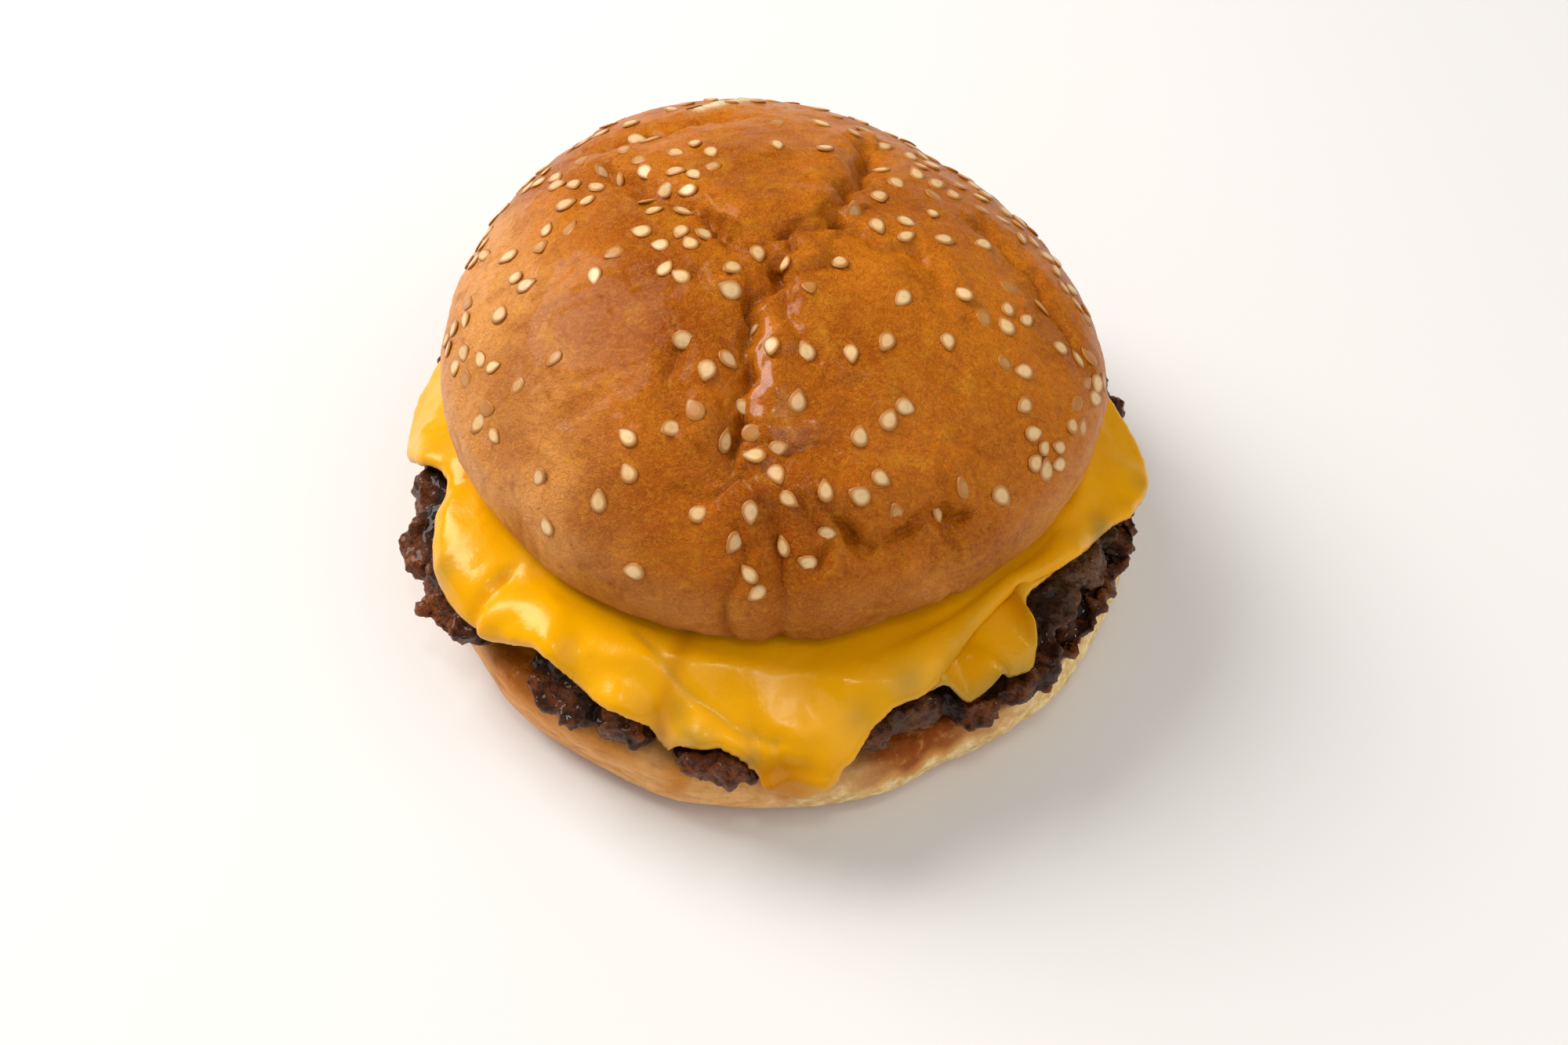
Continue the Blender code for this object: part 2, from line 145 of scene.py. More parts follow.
# Ridges and creases of the slices: (route of angle and length, half-width, extra width on its left, height).
CHEESE_RIDGES = {
    "cheese_upper": (
        (((222.5, 51.0), (224.5, 48.0), (228.0, 46.6), (232.0, 46.8), (237.0, 49.0)), 1.6, 0.6, 1.3),
        (((225.0, 53.6), (229.5, 52.4), (233.0, 52.6)), 1.4, 0.2, 0.6),
        (((220.3, 46.5), (221.6, 50.0), (223.6, 54.0)), 0.8, 0.5, -1.3),
        (SLICE_CUT, 0.5, 0.0, -0.6),
        (SLICE_CUT, 0.4, 2.6, 0.35),
        (((264.5, 55.6), (268.0, 56.2), (272.0, 55.2), (277.0, 55.6)), 0.8, 0.3, 0.7),
        (((288.0, 47.0), (296.0, 46.0), (305.0, 46.2), (316.0, 46.6), (330.0, 46.0)), 2.2, 0.5, 0.8),
        (((181.0, 50.0), (189.0, 48.5), (197.0, 49.0)), 1.2, 0.3, 0.7),
    ),
    "cheese_lower": ((((303.0, 48.0), (306.0, 52.0), (305.0, 55.0)), 1.6, 0.0, 0.4),),
}
# How far the lower slice's hem has melted back, or run down where negative: (angle, half-width, height).
MELTED_BITES = (
    (297, 1.6, 2.4), (300.6, 1.3, -1.6), (304.6, 1.9, 5.2), (310, 2.4, 0.2), (316, 2.4, 3.2), (321, 4, 2.6),
    (230, 3, 1), (40, 4, 1.2), (131, 4, 1.4), (48, 1.5, -1), (124, 1.5, -1),
)
# Where the meat shows through thin cheese: same columns as the swellings, the last being how strongly.
CHEESE_THIN = (
    (212, 49.6, 2.4, 1.8, 0.5), (252, 53.4, 3, 1.4, 0.65), (259, 51, 2.4, 1.2, 0.7),
    (267.2, 53, 1.6, 1, 0.7), (283, 49.6, 2, 1.6, 0.3), (291, 47.6, 3, 1.3, 0.55),
    (286, 52.5, 1.6, 1.8, 0.35), (336, 49, 2, 1.2, 0.5), (256, 49, 1.6, 1.2, 0.35),
    (300, 53.5, 2, 1.6, 0.3), (338, 47.8, 2.6, 1.3, 0.7), (351, 51, 1.8, 1.6, 0.4),
    (273, 61.5, 3.2, 1.8, 0.35), (230, 53, 2, 1.2, 0.35), (284, 48.5, 3, 1.6, 0.15),
)
HEM = 7.0  # breadth of a slice's hem, which melts most
# How thin it is along the hems: (share, reach in mm, angle, half-width in degrees).
HEM_THIN = {"cheese_lower": (0.85, 2.2, 304, 16), "cheese_upper": (0.5, 1.1, 299, 9)}

# Clumps of mince: (from and to angles, reach, lump radius), and their lowest and highest height where it
# isn't the usual one.
LUMP_HEIGHTS = (13.8, 20.5)
CHUNKS = (
    (178, 184, 53.4, 2, 13.6, 20.5), (186, 193, 54.4, 2, 14, 20.5), (195, 204, 55.4, 2),
    (206, 213, 55.8, 1.9, 13.8, 20), (215, 218.5, 56, 1.2, 13.6, 17), (233, 242, 54.4, 2.2, 13.6, 19.6),
    (245, 251, 55, 2, 13.6, 19.4), (257.5, 267, 56.6, 2.1, 13.6, 19.4), (279, 287, 53.8, 2, 13.6, 20.5),
    (289, 297, 51.8, 2, 14.2, 21), (299, 305, 54.8, 1.8, 13.7, 19), (307, 317, 55.2, 1.9, 13.7, 20.5),
    (318, 340, 51.4, 2.3, 17, 22), (319, 352, 54.6, 1.7, 13.7, 18), (342, 360, 52.6, 2, 15, 21),
    (0, 12, 53, 2.2, 13.8, 21), (13, 22, 51.5, 2.1, 13.8, 21), (23, 34, 54.6, 2.5), (36, 47, 53.4, 2.3),
    (49, 62, 56, 2.6), (64, 75, 52.4, 2.2), (77, 91, 55, 2.5), (92, 106, 56.2, 2.4), (108, 117, 52.8, 2.3),
    (119, 133, 55.4, 2.6), (135, 145, 52.8, 2.2), (147, 163, 56, 2.6), (165, 176, 53.4, 2.3),
)
# Gaps between the clumps: (angle, half-width in degrees, depth in mm).
GAPS = (
    (225.5, 5.2, 6), (243.6, 1.1, 3), (254.2, 2.2, 4), (298, 1.2, 1.8), (220.5, 1, 1.6), (194.5, 0.9, 1.8),
    (205, 0.8, 1.2), (237.5, 0.8, 1.2), (272, 3, 2), (262, 0.7, 1.2), (306, 0.8, 1.2), (312, 0.7, 0.9),
    (186.5, 0.8, 1.2), (22.5, 1, 1.8), (35, 1, 1.6), (48, 1, 1.8), (63, 1, 1.8), (76, 1, 1.8),
    (107, 1, 1.8), (118, 1, 1.6), (134, 1, 1.8), (146, 1, 1.6), (164, 1, 1.8), (177, 1, 1.6),
)
# A dark cleft runs round part of the rim: its height and depth, and its angle and half-width in degrees.
CLEFT = (17.6, 2.6, 333, 14)

# Where fat stained the heel's side and soaked its edge: (angle, half-width, share, how deep it is full, where
# it ends, height and rate of its wavy edge).
STAINED = (
    (226, 12, 1.0, 1.0, 4.0, 0, 0), (246, 6, 0.6, 1.5, 4.0, 0, 0), (257, 2.6, 0.8, 3.0, 7.5, 1.2, 1.1),
    (272, 5, 0.8, 3.0, 7.5, 1.2, 1.1), (294, 14, 0.8, 4.6, 6.4, 0.9, 0.9),
)
SOAKED = ((294, 11, 1.0, 2.4, 4.8, 0.9, 0.9),)
SOAKED_EDGE = ((226, 9, 0.75, 0.8, 2.8, 0, 0),)

# Where the seeds lie, in mm from the crown's middle: (x, y) of one, or (x, y, spread, how many) of a patch.
STREWN = (
    (-27, 27, 3, 2), (-20, 27, 3, 2), (-16, 21, 3, 3), (-25, 17, 4, 4), (-21, 14, 3, 4), (-14, 14, 4, 5),
    (-10, 14, 4, 6), (-10, 9, 3, 4), (-24, 11, 3, 3), (-13, 6, 3, 3), (-10, 4, 2, 2), (-17, 6),
    (-26, 4, 3, 3), (-31, 2, 2, 1), (-15, 0, 3, 2), (-9, -1, 2, 3), (-11, -6, 2, 2), (-18, -2), (-20, -5),
    (-30, -3, 2, 2), (-32, -6), (-38, 0, 1, 1), (-39, 10, 3, 3), (-41, 14, 3, 3), (-40, -5, 4, 4),
    (-38, -10, 3, 3), (-43, -3, 2, 2), (-33, -13), (-24, -15), (-29, -17), (-36, -19, 2, 3), (-34, -22),
    (-27, -29), (-28, -36), (-19, -33), (-16, -43), (-15, -26), (-15, -30), (-9, -25, 2, 2), (-9, -16),
    (-4, -18), (-6, -20, 1, 2), (-4, -27), (-2, -23), (-4, -7), (-4, -11, 1, 1), (-1, -4), (-1, -13, 1, 2),
    (2, -8, 2, 3), (5, -9, 1, 1), (9, -5), (1, -17), (0, -21, 1, 2), (5, -17), (4, -23), (0, -28, 2, 3),
    (2, -30, 1, 1), (3, -33, 1, 1), (7, -32, 1, 2), (-1, -35), (-2, -38, 1, 1), (3, -39), (-5, -39),
    (6, -41), (-1, -43), (0, -46), (8, -37), (-7, -35), (10, -17), (14, -15), (16, -9), (15, -22, 2, 2),
    (11, -26), (13, -32, 2, 2), (16, -34), (22, -33), (24, -30), (30, -30), (21, -13), (23, -6),
    (28, -7, 3, 4), (29, -2), (29, -13, 2, 2), (31, -18), (33, -21), (34, -2), (36, -8, 2, 3),
    (37, -24, 3, 6), (41, -17, 3, 4), (44, -11, 2, 3), (39, 4, 3, 5), (38, 9, 2, 2), (33, 10, 2, 2),
    (28, 12, 2, 2), (23, 13, 3, 3), (20, 7), (21, 2), (26, 4), (17, 2, 2, 2), (12, 3, 2, 3), (13, 9, 1, 1),
    (16, 15, 3, 3), (20, 22, 3, 4), (13, 24, 3, 3), (26, 19, 3, 4), (32, 16, 3, 4), (7, 25, 1, 1), (7, 17),
    (1, 17), (1, 24), (1, 31), (-4, 32, 3, 2), (-30, 20, 3, 3), (8, 33, 5, 4), (19, 30, 5, 5),
    (28, 27, 4, 4), (-12, 34, 5, 4), (-24, 34, 4, 3), (2, 40, 5, 4), (14, 40, 5, 4), (-33, 25, 4, 3),
    (-40, 21, 3, 2), (37, 17, 3, 4), (43, 3, 2, 3), (42, -8, 2, 2), (47, -9, 1, 2),
)
SEED_GAP = 2.5  # least distance between seeds, mm
SEED_TRIES = 30

# Lights: name, place and side in metres, and the setting that holds its power.
LIGHTS = (
    ("key_softbox", (-0.52, 0.28, 0.62), 0.5, "key"),
    ("side_card", (0.45, -0.35, 0.5), 0.9, "card"),
    ("top_card", (0.02, -0.22, 0.72), 0.07, "glint"),
)


# ---- Settings ----


def mm_size(name, description, default):
    """A property that holds a length, given here in mm."""
    return bpy.props.FloatProperty(
        name=name, description=description, default=default * MM, unit="LENGTH", precision=5
    )


def hex_colour(name, description, default):
    """A property that holds an sRGB hex colour."""
    return bpy.props.StringProperty(name=name, description="Hex colour of " + description, default=default)


class BunSettings(bpy.types.PropertyGroup):
    """Sizes and colours of the bun's two halves."""

    skin_grain: mm_size("Skin grain", "Size of the fine wrinkles in the egg-washed skin", 1.1)
    mesh_size: mm_size("Mesh size", "Edge length that the dough is remeshed to before it is folded", 1.05)
    dough_swell: mm_size("Swell", "Height of the dough's broad unevenness", 0.9)
    # this colour is also laid into the crown's creases and pits as painted shade
    deep: hex_colour("Deep bake", "the folds", "964200")
    amber: hex_colour("Amber bake", "the top", "CC7010")
    tan: hex_colour("Tan bake", "the flanks", "E69E56")
    gold: hex_colour("Gold bake", "paler threads", "D8921C")
    crumb: hex_colour("Crumb", "the torn crumb", "EBD3A4")
    heel_light: hex_colour("Heel light", "the heel's pale crust", "E89E52")
    heel_dark: hex_colour("Heel dark", "its darker streaks", "A65E22")
    crumb_light: hex_colour("Fleece light", "the heel's crumb", "F6DCA4")
    # painted shade: the darker tone of the crumb's hollows, laid by noise
    crumb_dark: hex_colour("Fleece dark", "the crumb's hollows", "D0A768")
    stain: hex_colour("Stain", "orange fat in the crumb", "C67610")
    grease: hex_colour("Grease", "soaked bread", "8A4000")


class SesameSettings(bpy.types.PropertyGroup):
    """Size and colours of the sesame seeds."""

    length: mm_size("Length", "Length of a seed", 3.1)
    width: mm_size("Width", "Width of a seed", 2.35)
    thickness: mm_size("Thickness", "Thickness of a seed", 0.58)
    ivory: hex_colour("Ivory", "a bare seed", "E3C08A")
    glazed: hex_colour("Glazed", "a seed under egg wash", "AE7030")


class CheeseSettings(bpy.types.PropertyGroup):
    """Sizes and colours of the melted slices."""

    mesh_size: mm_size("Mesh size", "Edge length that a slice is remeshed to", 0.55)
    sag: mm_size("Sag", "How deep the slice sinks between the meat's lumps", 1.0)
    yellow: hex_colour("Yellow", "the cheese", "E4A000")
    ochre: hex_colour("Ochre", "its darker patches", "D89000")
    # this colour is partly fat run over the cheese and partly painted shade on the tongue's end
    oiled_and_shaded: hex_colour("Oil_and_shade", "cheese that fat has run over", "B87200")
    # this colour is also laid along the upper slice's cut crease as painted shade
    thin: hex_colour("Thin", "cheese that meat shows through", "8E7430")


class PattySettings(bpy.types.PropertyGroup):
    """Sizes and colours of the beef patty."""

    mesh_size: mm_size("Mesh size", "Edge length that the meat is remeshed to", 0.46)
    granule: mm_size("Granule", "Size of the minced meat's granules", 3.0)
    char: hex_colour("Char", "the seared crust", "2A1206")
    meat: hex_colour("Meat", "the browned meat", "743C14")
    # this colour is also laid on the lumps' crests as a painted highlight
    rust: hex_colour("Rust", "its reddish browned edges", "8C4616")
    grey: hex_colour("Grey", "the inner meat", "6E4A2C")
    # painted shade: the near-black laid into the meat's hollows and the gaps between its lumps
    hollow_shade: hex_colour("Shade", "its deepest hollows", "0E0603")


class StageSettings(bpy.types.PropertyGroup):
    """The camera's place, the lights and the floor."""

    camera: bpy.props.FloatVectorProperty(
        name="Camera", description="Camera place from the heel's middle", subtype="TRANSLATION",
        default=(0.001188, -0.18235, 0.23304), precision=6,
    )
    tilt: bpy.props.FloatProperty(
        name="Look down", description="Angle of the view below the horizon", subtype="ANGLE",
        default=math.radians(51.91),
    )
    roll: bpy.props.FloatProperty(
        name="Roll", description="Turn of the view about its own line", subtype="ANGLE",
        default=math.radians(1.2),
    )
    lens: bpy.props.FloatProperty(
        name="Lens", description="Focal length on a 36 mm sensor", default=43.2, unit="CAMERA"
    )
    key: bpy.props.FloatProperty(
        name="Key", description="Power of the key softbox", default=8.05, unit="POWER"
    )
    card: bpy.props.FloatProperty(
        name="Card", description="Power of the card on the right", default=2.4, unit="POWER"
    )
    glint: bpy.props.FloatProperty(
        name="Glint", description="Power of the small card that glints in wet skin", default=0.4, unit="POWER"
    )
    fill: bpy.props.FloatProperty(name="Fill", description="Strength of the room's light", default=0.45)
    floor: hex_colour("Floor", "the floor", "DEDAD5")


# ---- Modelling helpers ----


def select_only(piece):
    bpy.ops.object.select_all(action="DESELECT")
    piece.select_set(True)
    bpy.context.view_layer.objects.active = piece


def copy_of(node, name):
    """A loose copy of a frame layer with its triangles merged, ready for remeshing."""
    piece = bpy.data.objects.new(name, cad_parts[node].data.copy())
    piece.data.materials.clear()
    bpy.context.scene.collection.objects.link(piece)
    select_only(piece)
    bpy.ops.object.mode_set(mode="EDIT")
    bpy.ops.mesh.select_all(action="SELECT")
    bpy.ops.mesh.remove_doubles(threshold=MERGE * MM)
    bpy.ops.object.mode_set(mode="OBJECT")
    return piece


def shape_with(piece, kind, **settings):
    """Adds one modifier to the piece and applies it."""
    select_only(piece)
    modifier = piece.modifiers.new(kind.title(), kind)
    for key, value in settings.items():
        setattr(modifier, key, value)
    bpy.ops.object.modifier_apply(modifier=modifier.name)


def remesh(piece, size):
    shape_with(piece, "REMESH", mode="VOXEL", voxel_size=size, adaptivity=0.0)


def relax(piece, rounds):
    shape_with(piece, "SMOOTH", factor=0.5, iterations=rounds)


def read_vertices(piece, key):
    """A three-part value of each vertex, one row each."""
    values = np.empty(len(piece.data.vertices) * 3, np.float32)
    piece.data.vertices.foreach_get(key, values)
    return values.reshape(-1, 3).astype(np.float64)


def points_of(piece):
    """The piece's vertices in mm."""
    return read_vertices(piece, "co") / MM


def weigh(piece, name, weights):
    """A vertex group holding these weights, 0 to 1."""
    group = piece.vertex_groups.new(name=name)
    for index in np.flatnonzero(weights > 0.002):
        group.add([int(index)], float(min(1.0, weights[index])), "REPLACE")


def push(piece, weights, distance, texture=None, middle=0.0):
    """Moves the piece's skin along its normals by distance times the weights, through a texture if given."""
    weigh(piece, "push", weights)
    shape_with(
        piece, "DISPLACE", vertex_group="push", strength=distance, texture=texture, texture_coords="LOCAL",
        mid_level=middle,
    )
    piece.vertex_groups.remove(piece.vertex_groups["push"])


def roughen(piece, weights, name, height, size, detail, middle=0.5, basis="BLENDER_ORIGINAL"):
    """Ruffles the piece's skin with cloudy noise of that height and feature size, both in metres."""
    texture = bpy.data.textures.new(name, "CLOUDS")
    texture.noise_scale = size
    texture.noise_depth = detail
    texture.noise_basis = basis
    push(piece, weights, height, texture, middle)


def carve(piece, depths):
    """Sinks the piece's skin by these depths in mm, and raises it where they are negative."""
    for sign in (1.0, -1.0):
        share = np.clip(sign * depths, 0.0, None)
        deepest = share.max()
        if deepest > 0.0:
            push(piece, share / deepest, -sign * deepest * MM)


def move(piece, offsets):
    """Shifts each vertex by its own offset in mm."""
    places = (points_of(piece) + offsets) * MM
    piece.data.vertices.foreach_set("co", places.astype(np.float32).ravel())
    piece.data.update()


def cavity(piece):
    """How deep each vertex lies below its smoothed surroundings, in mm; crests are negative."""
    smoothed = piece.copy()
    smoothed.data = piece.data.copy()
    bpy.context.scene.collection.objects.link(smoothed)
    relax(smoothed, 14)
    depth = ((points_of(smoothed) - points_of(piece)) * read_vertices(piece, "normal")).sum(axis=1)
    bpy.data.objects.remove(smoothed)
    return depth


def paint(piece, **values):
    """Named values for each vertex, which the piece's material reads."""
    for name, value in values.items():
        attribute = piece.data.attributes.new(name, "FLOAT", "POINT")
        attribute.data.foreach_set("value", np.clip(value, 0.0, 1.0).astype(np.float32))


def ease(low, high, value):
    """0 below low, 1 above high, and a smooth rise between."""
    t = np.clip((value - low) / (high - low), 0.0, 1.0)
    return t * t * (3.0 - 2.0 * t)


def bell(away, reach):
    """1 at no distance, falling off smoothly over the reach."""
    return np.exp(-((away / reach) ** 2))


def spot_at(plan, x, y, reach):
    """1 at a spot of the plan, falling off over the reach."""
    return np.exp(-((plan[:, 0] - x) ** 2 + (plan[:, 1] - y) ** 2) / reach**2)


def turn_from(angle, centre):
    """Degrees from the centre angle, between -180 and 180."""
    return (angle - centre + 180.0) % 360.0 - 180.0


def around(angle, centre, width):
    """1 at the centre angle, falling off over the width, in degrees."""
    return bell(turn_from(angle, centre), width)


def polar_of(places):
    """Angle in degrees and radius in mm of each place about the heel's middle."""
    x = places[:, 0] - MIDDLE[0]
    y = places[:, 1] - MIDDLE[1]
    return np.degrees(np.arctan2(y, x)) % 360.0, np.hypot(x, y)


def heading(angle):
    """Level unit steps out from the middle at these angles."""
    turned = np.radians(angle)
    return np.column_stack([np.cos(turned), np.sin(turned), np.zeros(len(turned))])


def farthest(angle, reach, window):
    """The largest reach within a window of degrees on either side of each angle."""
    local = [reach[np.abs(turn_from(angle, a)) < window].max() for a in range(360)]
    return np.interp(angle, np.arange(361), local + local[:1])


def rounded(route, steps=6):
    """The route's points with a smooth curve drawn through them."""
    route = np.array(route, float)
    padded = np.vstack([2 * route[0] - route[1], route, 2 * route[-1] - route[-2]])
    out = []
    for a, b, c, d in zip(padded, padded[1:], padded[2:], padded[3:]):
        for k in range(steps):
            t = k / steps
            bend = 2 * a - 5 * b + 4 * c - d + t * (3 * (b - c) + d - a)
            out.append(0.5 * (2 * b + t * (c - a + t * bend)))
    return np.array(out + [route[-1]])


def off_route(places, route):
    """Distance of each place from the route, which is negative on its left."""
    near = np.full(len(places), 1e9)
    side = np.ones(len(places))
    for start, end in zip(route, route[1:]):
        step = end - start
        gap = places - start
        t = np.clip(gap @ step / (step @ step), 0.0, 1.0)
        away = np.hypot(*(gap - t[:, None] * step).T)
        closer = away < near
        near = np.where(closer, away, near)
        side = np.where(closer, np.sign(gap[:, 0] * step[1] - gap[:, 1] * step[0]), side)
    return near * side


def finish_piece(piece, node, material):
    """Smooth shading, its material, and its place in the frame."""
    select_only(piece)
    bpy.ops.object.shade_smooth()
    piece.data.materials.clear()
    piece.data.materials.append(material)
    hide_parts(node)
    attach(piece, "root")


# ---- Materials ----


def linear(colour):
    """An sRGB hex colour as linear RGBA."""
    channels = [int(colour[k : k + 2], 16) / 255.0 for k in (0, 2, 4)]
    return tuple(c / 12.92 if c <= 0.04045 else ((c + 0.055) / 1.055) ** 2.4 for c in channels) + (1.0,)


def add_node(tree, kind, settings=None, inputs=None):
    """Adds a node with these properties; an input is linked to a socket or filled with a value."""
    node = tree.nodes.new(kind)
    for key, value in (settings or {}).items():
        setattr(node, key, value)
    for key, value in (inputs or {}).items():
        if isinstance(value, bpy.types.NodeSocket):
            tree.links.new(value, node.inputs[key])
        else:
            node.inputs[key].default_value = value
    return node


def start_material(name, painted=(), **settings):
    """A material with its shader set as given; returns it, its tree, the shader and the painted values."""
    material = bpy.data.materials.new(name)
    material.use_nodes = True
    tree = material.node_tree
    shader = tree.nodes["Principled BSDF"]
    for key, value in settings.items():
        shader.inputs[key.replace("_", " ")].default_value = value
    values = [
        add_node(tree, "ShaderNodeAttribute", {"attribute_name": value}).outputs["Fac"] for value in painted
    ]
    return material, tree, shader, values


def grain(tree, size, detail=3.0, rough=0.55, stretch=None, bend=0.0):
    """Noise with features of that size in metres, on the piece's own coordinates."""
    place = add_node(tree, "ShaderNodeTexCoord").outputs["Object"]
    if stretch:
        place = add_node(tree, "ShaderNodeMapping", None, {"Vector": place, "Scale": stretch}).outputs[0]
    return add_node(tree, "ShaderNodeTexNoise", None, {
        "Vector": place, "Scale": 1.0 / size, "Detail": detail, "Roughness": rough, "Distortion": bend,
    }).outputs["Fac"]


def patches(tree, size, low, high, least=0.0, most=1.0, **kind):
    """Soft-edged patches of that size: least where the grain is below low, most where it is above high."""
    inputs = {"From Min": low, "From Max": high, "To Min": least, "To Max": most}
    inputs["Value"] = grain(tree, size, **kind)
    return add_node(tree, "ShaderNodeMapRange", {"interpolation_type": "SMOOTHSTEP"}, inputs).outputs[0]


def weighed(tree, start, parts):
    """The start plus each value times its weight, kept between 0 and 1 at every step."""
    for value, weight in parts:
        start = add_node(
            tree, "ShaderNodeMath", {"operation": "MULTIPLY_ADD", "use_clamp": True},
            {0: value, 1: weight, 2: start},
        ).outputs[0]
    return start


def layered(tree, tone, layers):
    """Lays colours over the first one. A layer is where it lies, how strongly, and its colour."""
    tone = linear(tone)
    for share, strength, over in layers:
        if strength != 1.0:
            share = weighed(tree, 0.0, ((share, strength),))
        over = linear(over) if isinstance(over, str) else over
        tone = add_node(
            tree, "ShaderNodeMix", {"data_type": "RGBA"}, {0: share, 6: tone, 7: over}
        ).outputs[2]
    return tone


def dress(tree, shader, tone, rough, bumps):
    """Feeds the shader its colour and roughness, and stacks bumps (noise, height in metres) on its normal."""
    tree.links.new(tone, shader.inputs["Base Color"])
    if rough is not None:
        tree.links.new(rough, shader.inputs["Roughness"])
    below = {}
    for noise, height in bumps:
        inputs = {"Strength": 1.0, "Distance": height, "Height": noise, **below}
        below = {"Normal": add_node(tree, "ShaderNodeBump", None, inputs).outputs["Normal"]}
    tree.links.new(below["Normal"], shader.inputs["Normal"])


def egg_washed_crust(bun):
    """Enriched dough baked under an egg wash: a thin shiny skin, darker where it is thick, with painted shade
    in its folds and pits.
    """
    material, tree, shader, (bake, fold, torn, wet, browned) = start_material(
        "egg_washed_crust", ("bake", "fold", "torn", "wet", "browned"), IOR=1.45, Specular_IOR_Level=0.2,
        Specular_Tint=(1.0, 0.72, 0.4, 1.0), Coat_Roughness=0.17, Coat_IOR=1.45,
    )
    tone = layered(tree, bun.tan, (
        (bake, 1.0, bun.amber),
        (patches(tree, 17 * MM, 0.46, 0.66, detail=4.0), 0.55, bun.deep),
        # oven browning, with painted shade at the right top
        (browned, 1.0, bun.deep),
        (patches(tree, 4 * MM, 0.5, 0.7, detail=5.0, rough=0.62, bend=0.6), 0.45, bun.deep),  # freckles
        (patches(tree, 5 * MM, 0.52, 0.72, detail=6.0, rough=0.62, bend=1.0), 0.34, bun.gold),
        # painted shade: the deep bake colour laid into the creases and pits
        (fold, 0.5, bun.deep),
        (patches(tree, 0.9 * MM, 0.46, 0.62, detail=5.0, rough=0.7, bend=1.5), 0.26, bun.gold),  # threads
        (patches(tree, 0.7 * MM, 0.56, 0.7, rough=0.6), 0.3, bun.deep),  # pores
        (torn, 1.0, bun.crumb),
    ))
    rough = weighed(tree, patches(tree, 6 * MM, 0.35, 0.65, 0.3, 0.46), ((wet, -0.26), (torn, 0.4)))
    coat = weighed(tree, 0.13, ((wet, 0.85), (browned, -0.09)))
    tree.links.new(coat, shader.inputs["Coat Weight"])
    wrinkle = grain(tree, bun.skin_grain, detail=5.0, rough=0.62, bend=1.2)
    hairline = grain(tree, 0.45 * bun.skin_grain, bend=2.0)
    dress(tree, shader, tone, rough, ((wrinkle, 0.4 * MM), (hairline, 0.27 * MM)))
    return material


def sesame_hull(sesame):
    """Hulled sesame: waxy ivory seeds with a toasted rim, some of them under the egg wash."""
    material, tree, shader, (rim, glazed) = start_material(
        "hulled_sesame", ("rim", "glazed"), IOR=1.45, Specular_IOR_Level=0.35, Roughness=0.36,
        Subsurface_Weight=0.1, Subsurface_Scale=0.4 * MM, Subsurface_Radius=(1.0, 0.7, 0.4),
        Coat_Weight=0.08, Coat_Roughness=0.25,
    )
    tone = layered(tree, sesame.ivory, (
        (weighed(tree, rim, ((glazed, 1.0),)), 1.0, sesame.glazed),
        (patches(tree, 0.9 * MM, 0.45, 0.75), 0.3, sesame.glazed),
    ))
    dress(tree, shader, tone, None, ((grain(tree, 0.5 * MM), 0.03 * MM),))
    return material


def melted_cheese(cheese, name):
    """Processed cheese slice, melted: smooth, waxy and slightly see-through, so it glows at its edges;
    painted shade along its cut crease and on its tongue's end.
    """
    material, tree, shader, (oily, thin) = start_material(
        name, ("oily", "thin"), IOR=1.45, Specular_IOR_Level=0.4, Specular_Tint=(1.0, 0.9, 0.55, 1.0),
        Subsurface_Weight=0.08, Subsurface_Scale=1.2 * MM, Subsurface_Radius=(1.0, 0.45, 0.03),
        Coat_Weight=0.08, Coat_Roughness=0.1, Coat_IOR=1.4,
    )
    tone = layered(tree, cheese.yellow, (
        (patches(tree, 14 * MM, 0.42, 0.68), 0.5, cheese.ochre),
        # fat run over the cheese, and painted shade on the tongue's end
        (oily, 1.0, cheese.oiled_and_shaded),
        # meat showing through thin cheese, and painted shade along the cut crease
        (thin, 1.0, cheese.thin),
    ))
    dress(tree, shader, tone, patches(tree, 8 * MM, 0.35, 0.65, 0.2, 0.34), (
        (grain(tree, 3.5 * MM), 0.1 * MM), (grain(tree, 0.9 * MM, detail=4.0), 0.05 * MM),
    ))
    return material


def seared_beef(patty):
    """Minced beef seared hard: dark brittle crust, greyer meat in its clefts, wet with fat; painted shade in
    its hollows and gaps, and a painted highlight on its crests.
    """
    material, tree, shader, (inner, rust, crest, pit) = start_material(
        "seared_beef", ("inner", "rust", "crest", "pit"), IOR=1.45, Specular_IOR_Level=0.2,
        Coat_Weight=0.3, Coat_Roughness=0.07, Coat_IOR=1.45,
    )
    tone = layered(tree, patty.char, (
        (patches(tree, 4.5 * MM, 0.38, 0.62, detail=4.0), 1.0, patty.meat),
        (inner, 1.0, patty.grey),
        (rust, 1.0, patty.rust),
        (patches(tree, 0.8 * MM, 0.45, 0.62, detail=6.0, rough=0.7), 0.8, patty.char),
        # crest: a painted highlight on the lumps' crests
        (crest, 0.5, patty.rust),
        # pit: painted shade in hollows and in gaps set back from the rim
        (pit, 0.85, patty.hollow_shade),
    ))
    dress(tree, shader, tone, patches(tree, 1.5 * MM, 0.35, 0.65, 0.25, 0.6), (
        (grain(tree, 0.8 * MM, detail=6.0, rough=0.7), 0.3 * MM),
        (grain(tree, 0.4 * MM, detail=4.0), 0.12 * MM),
    ))
    return material


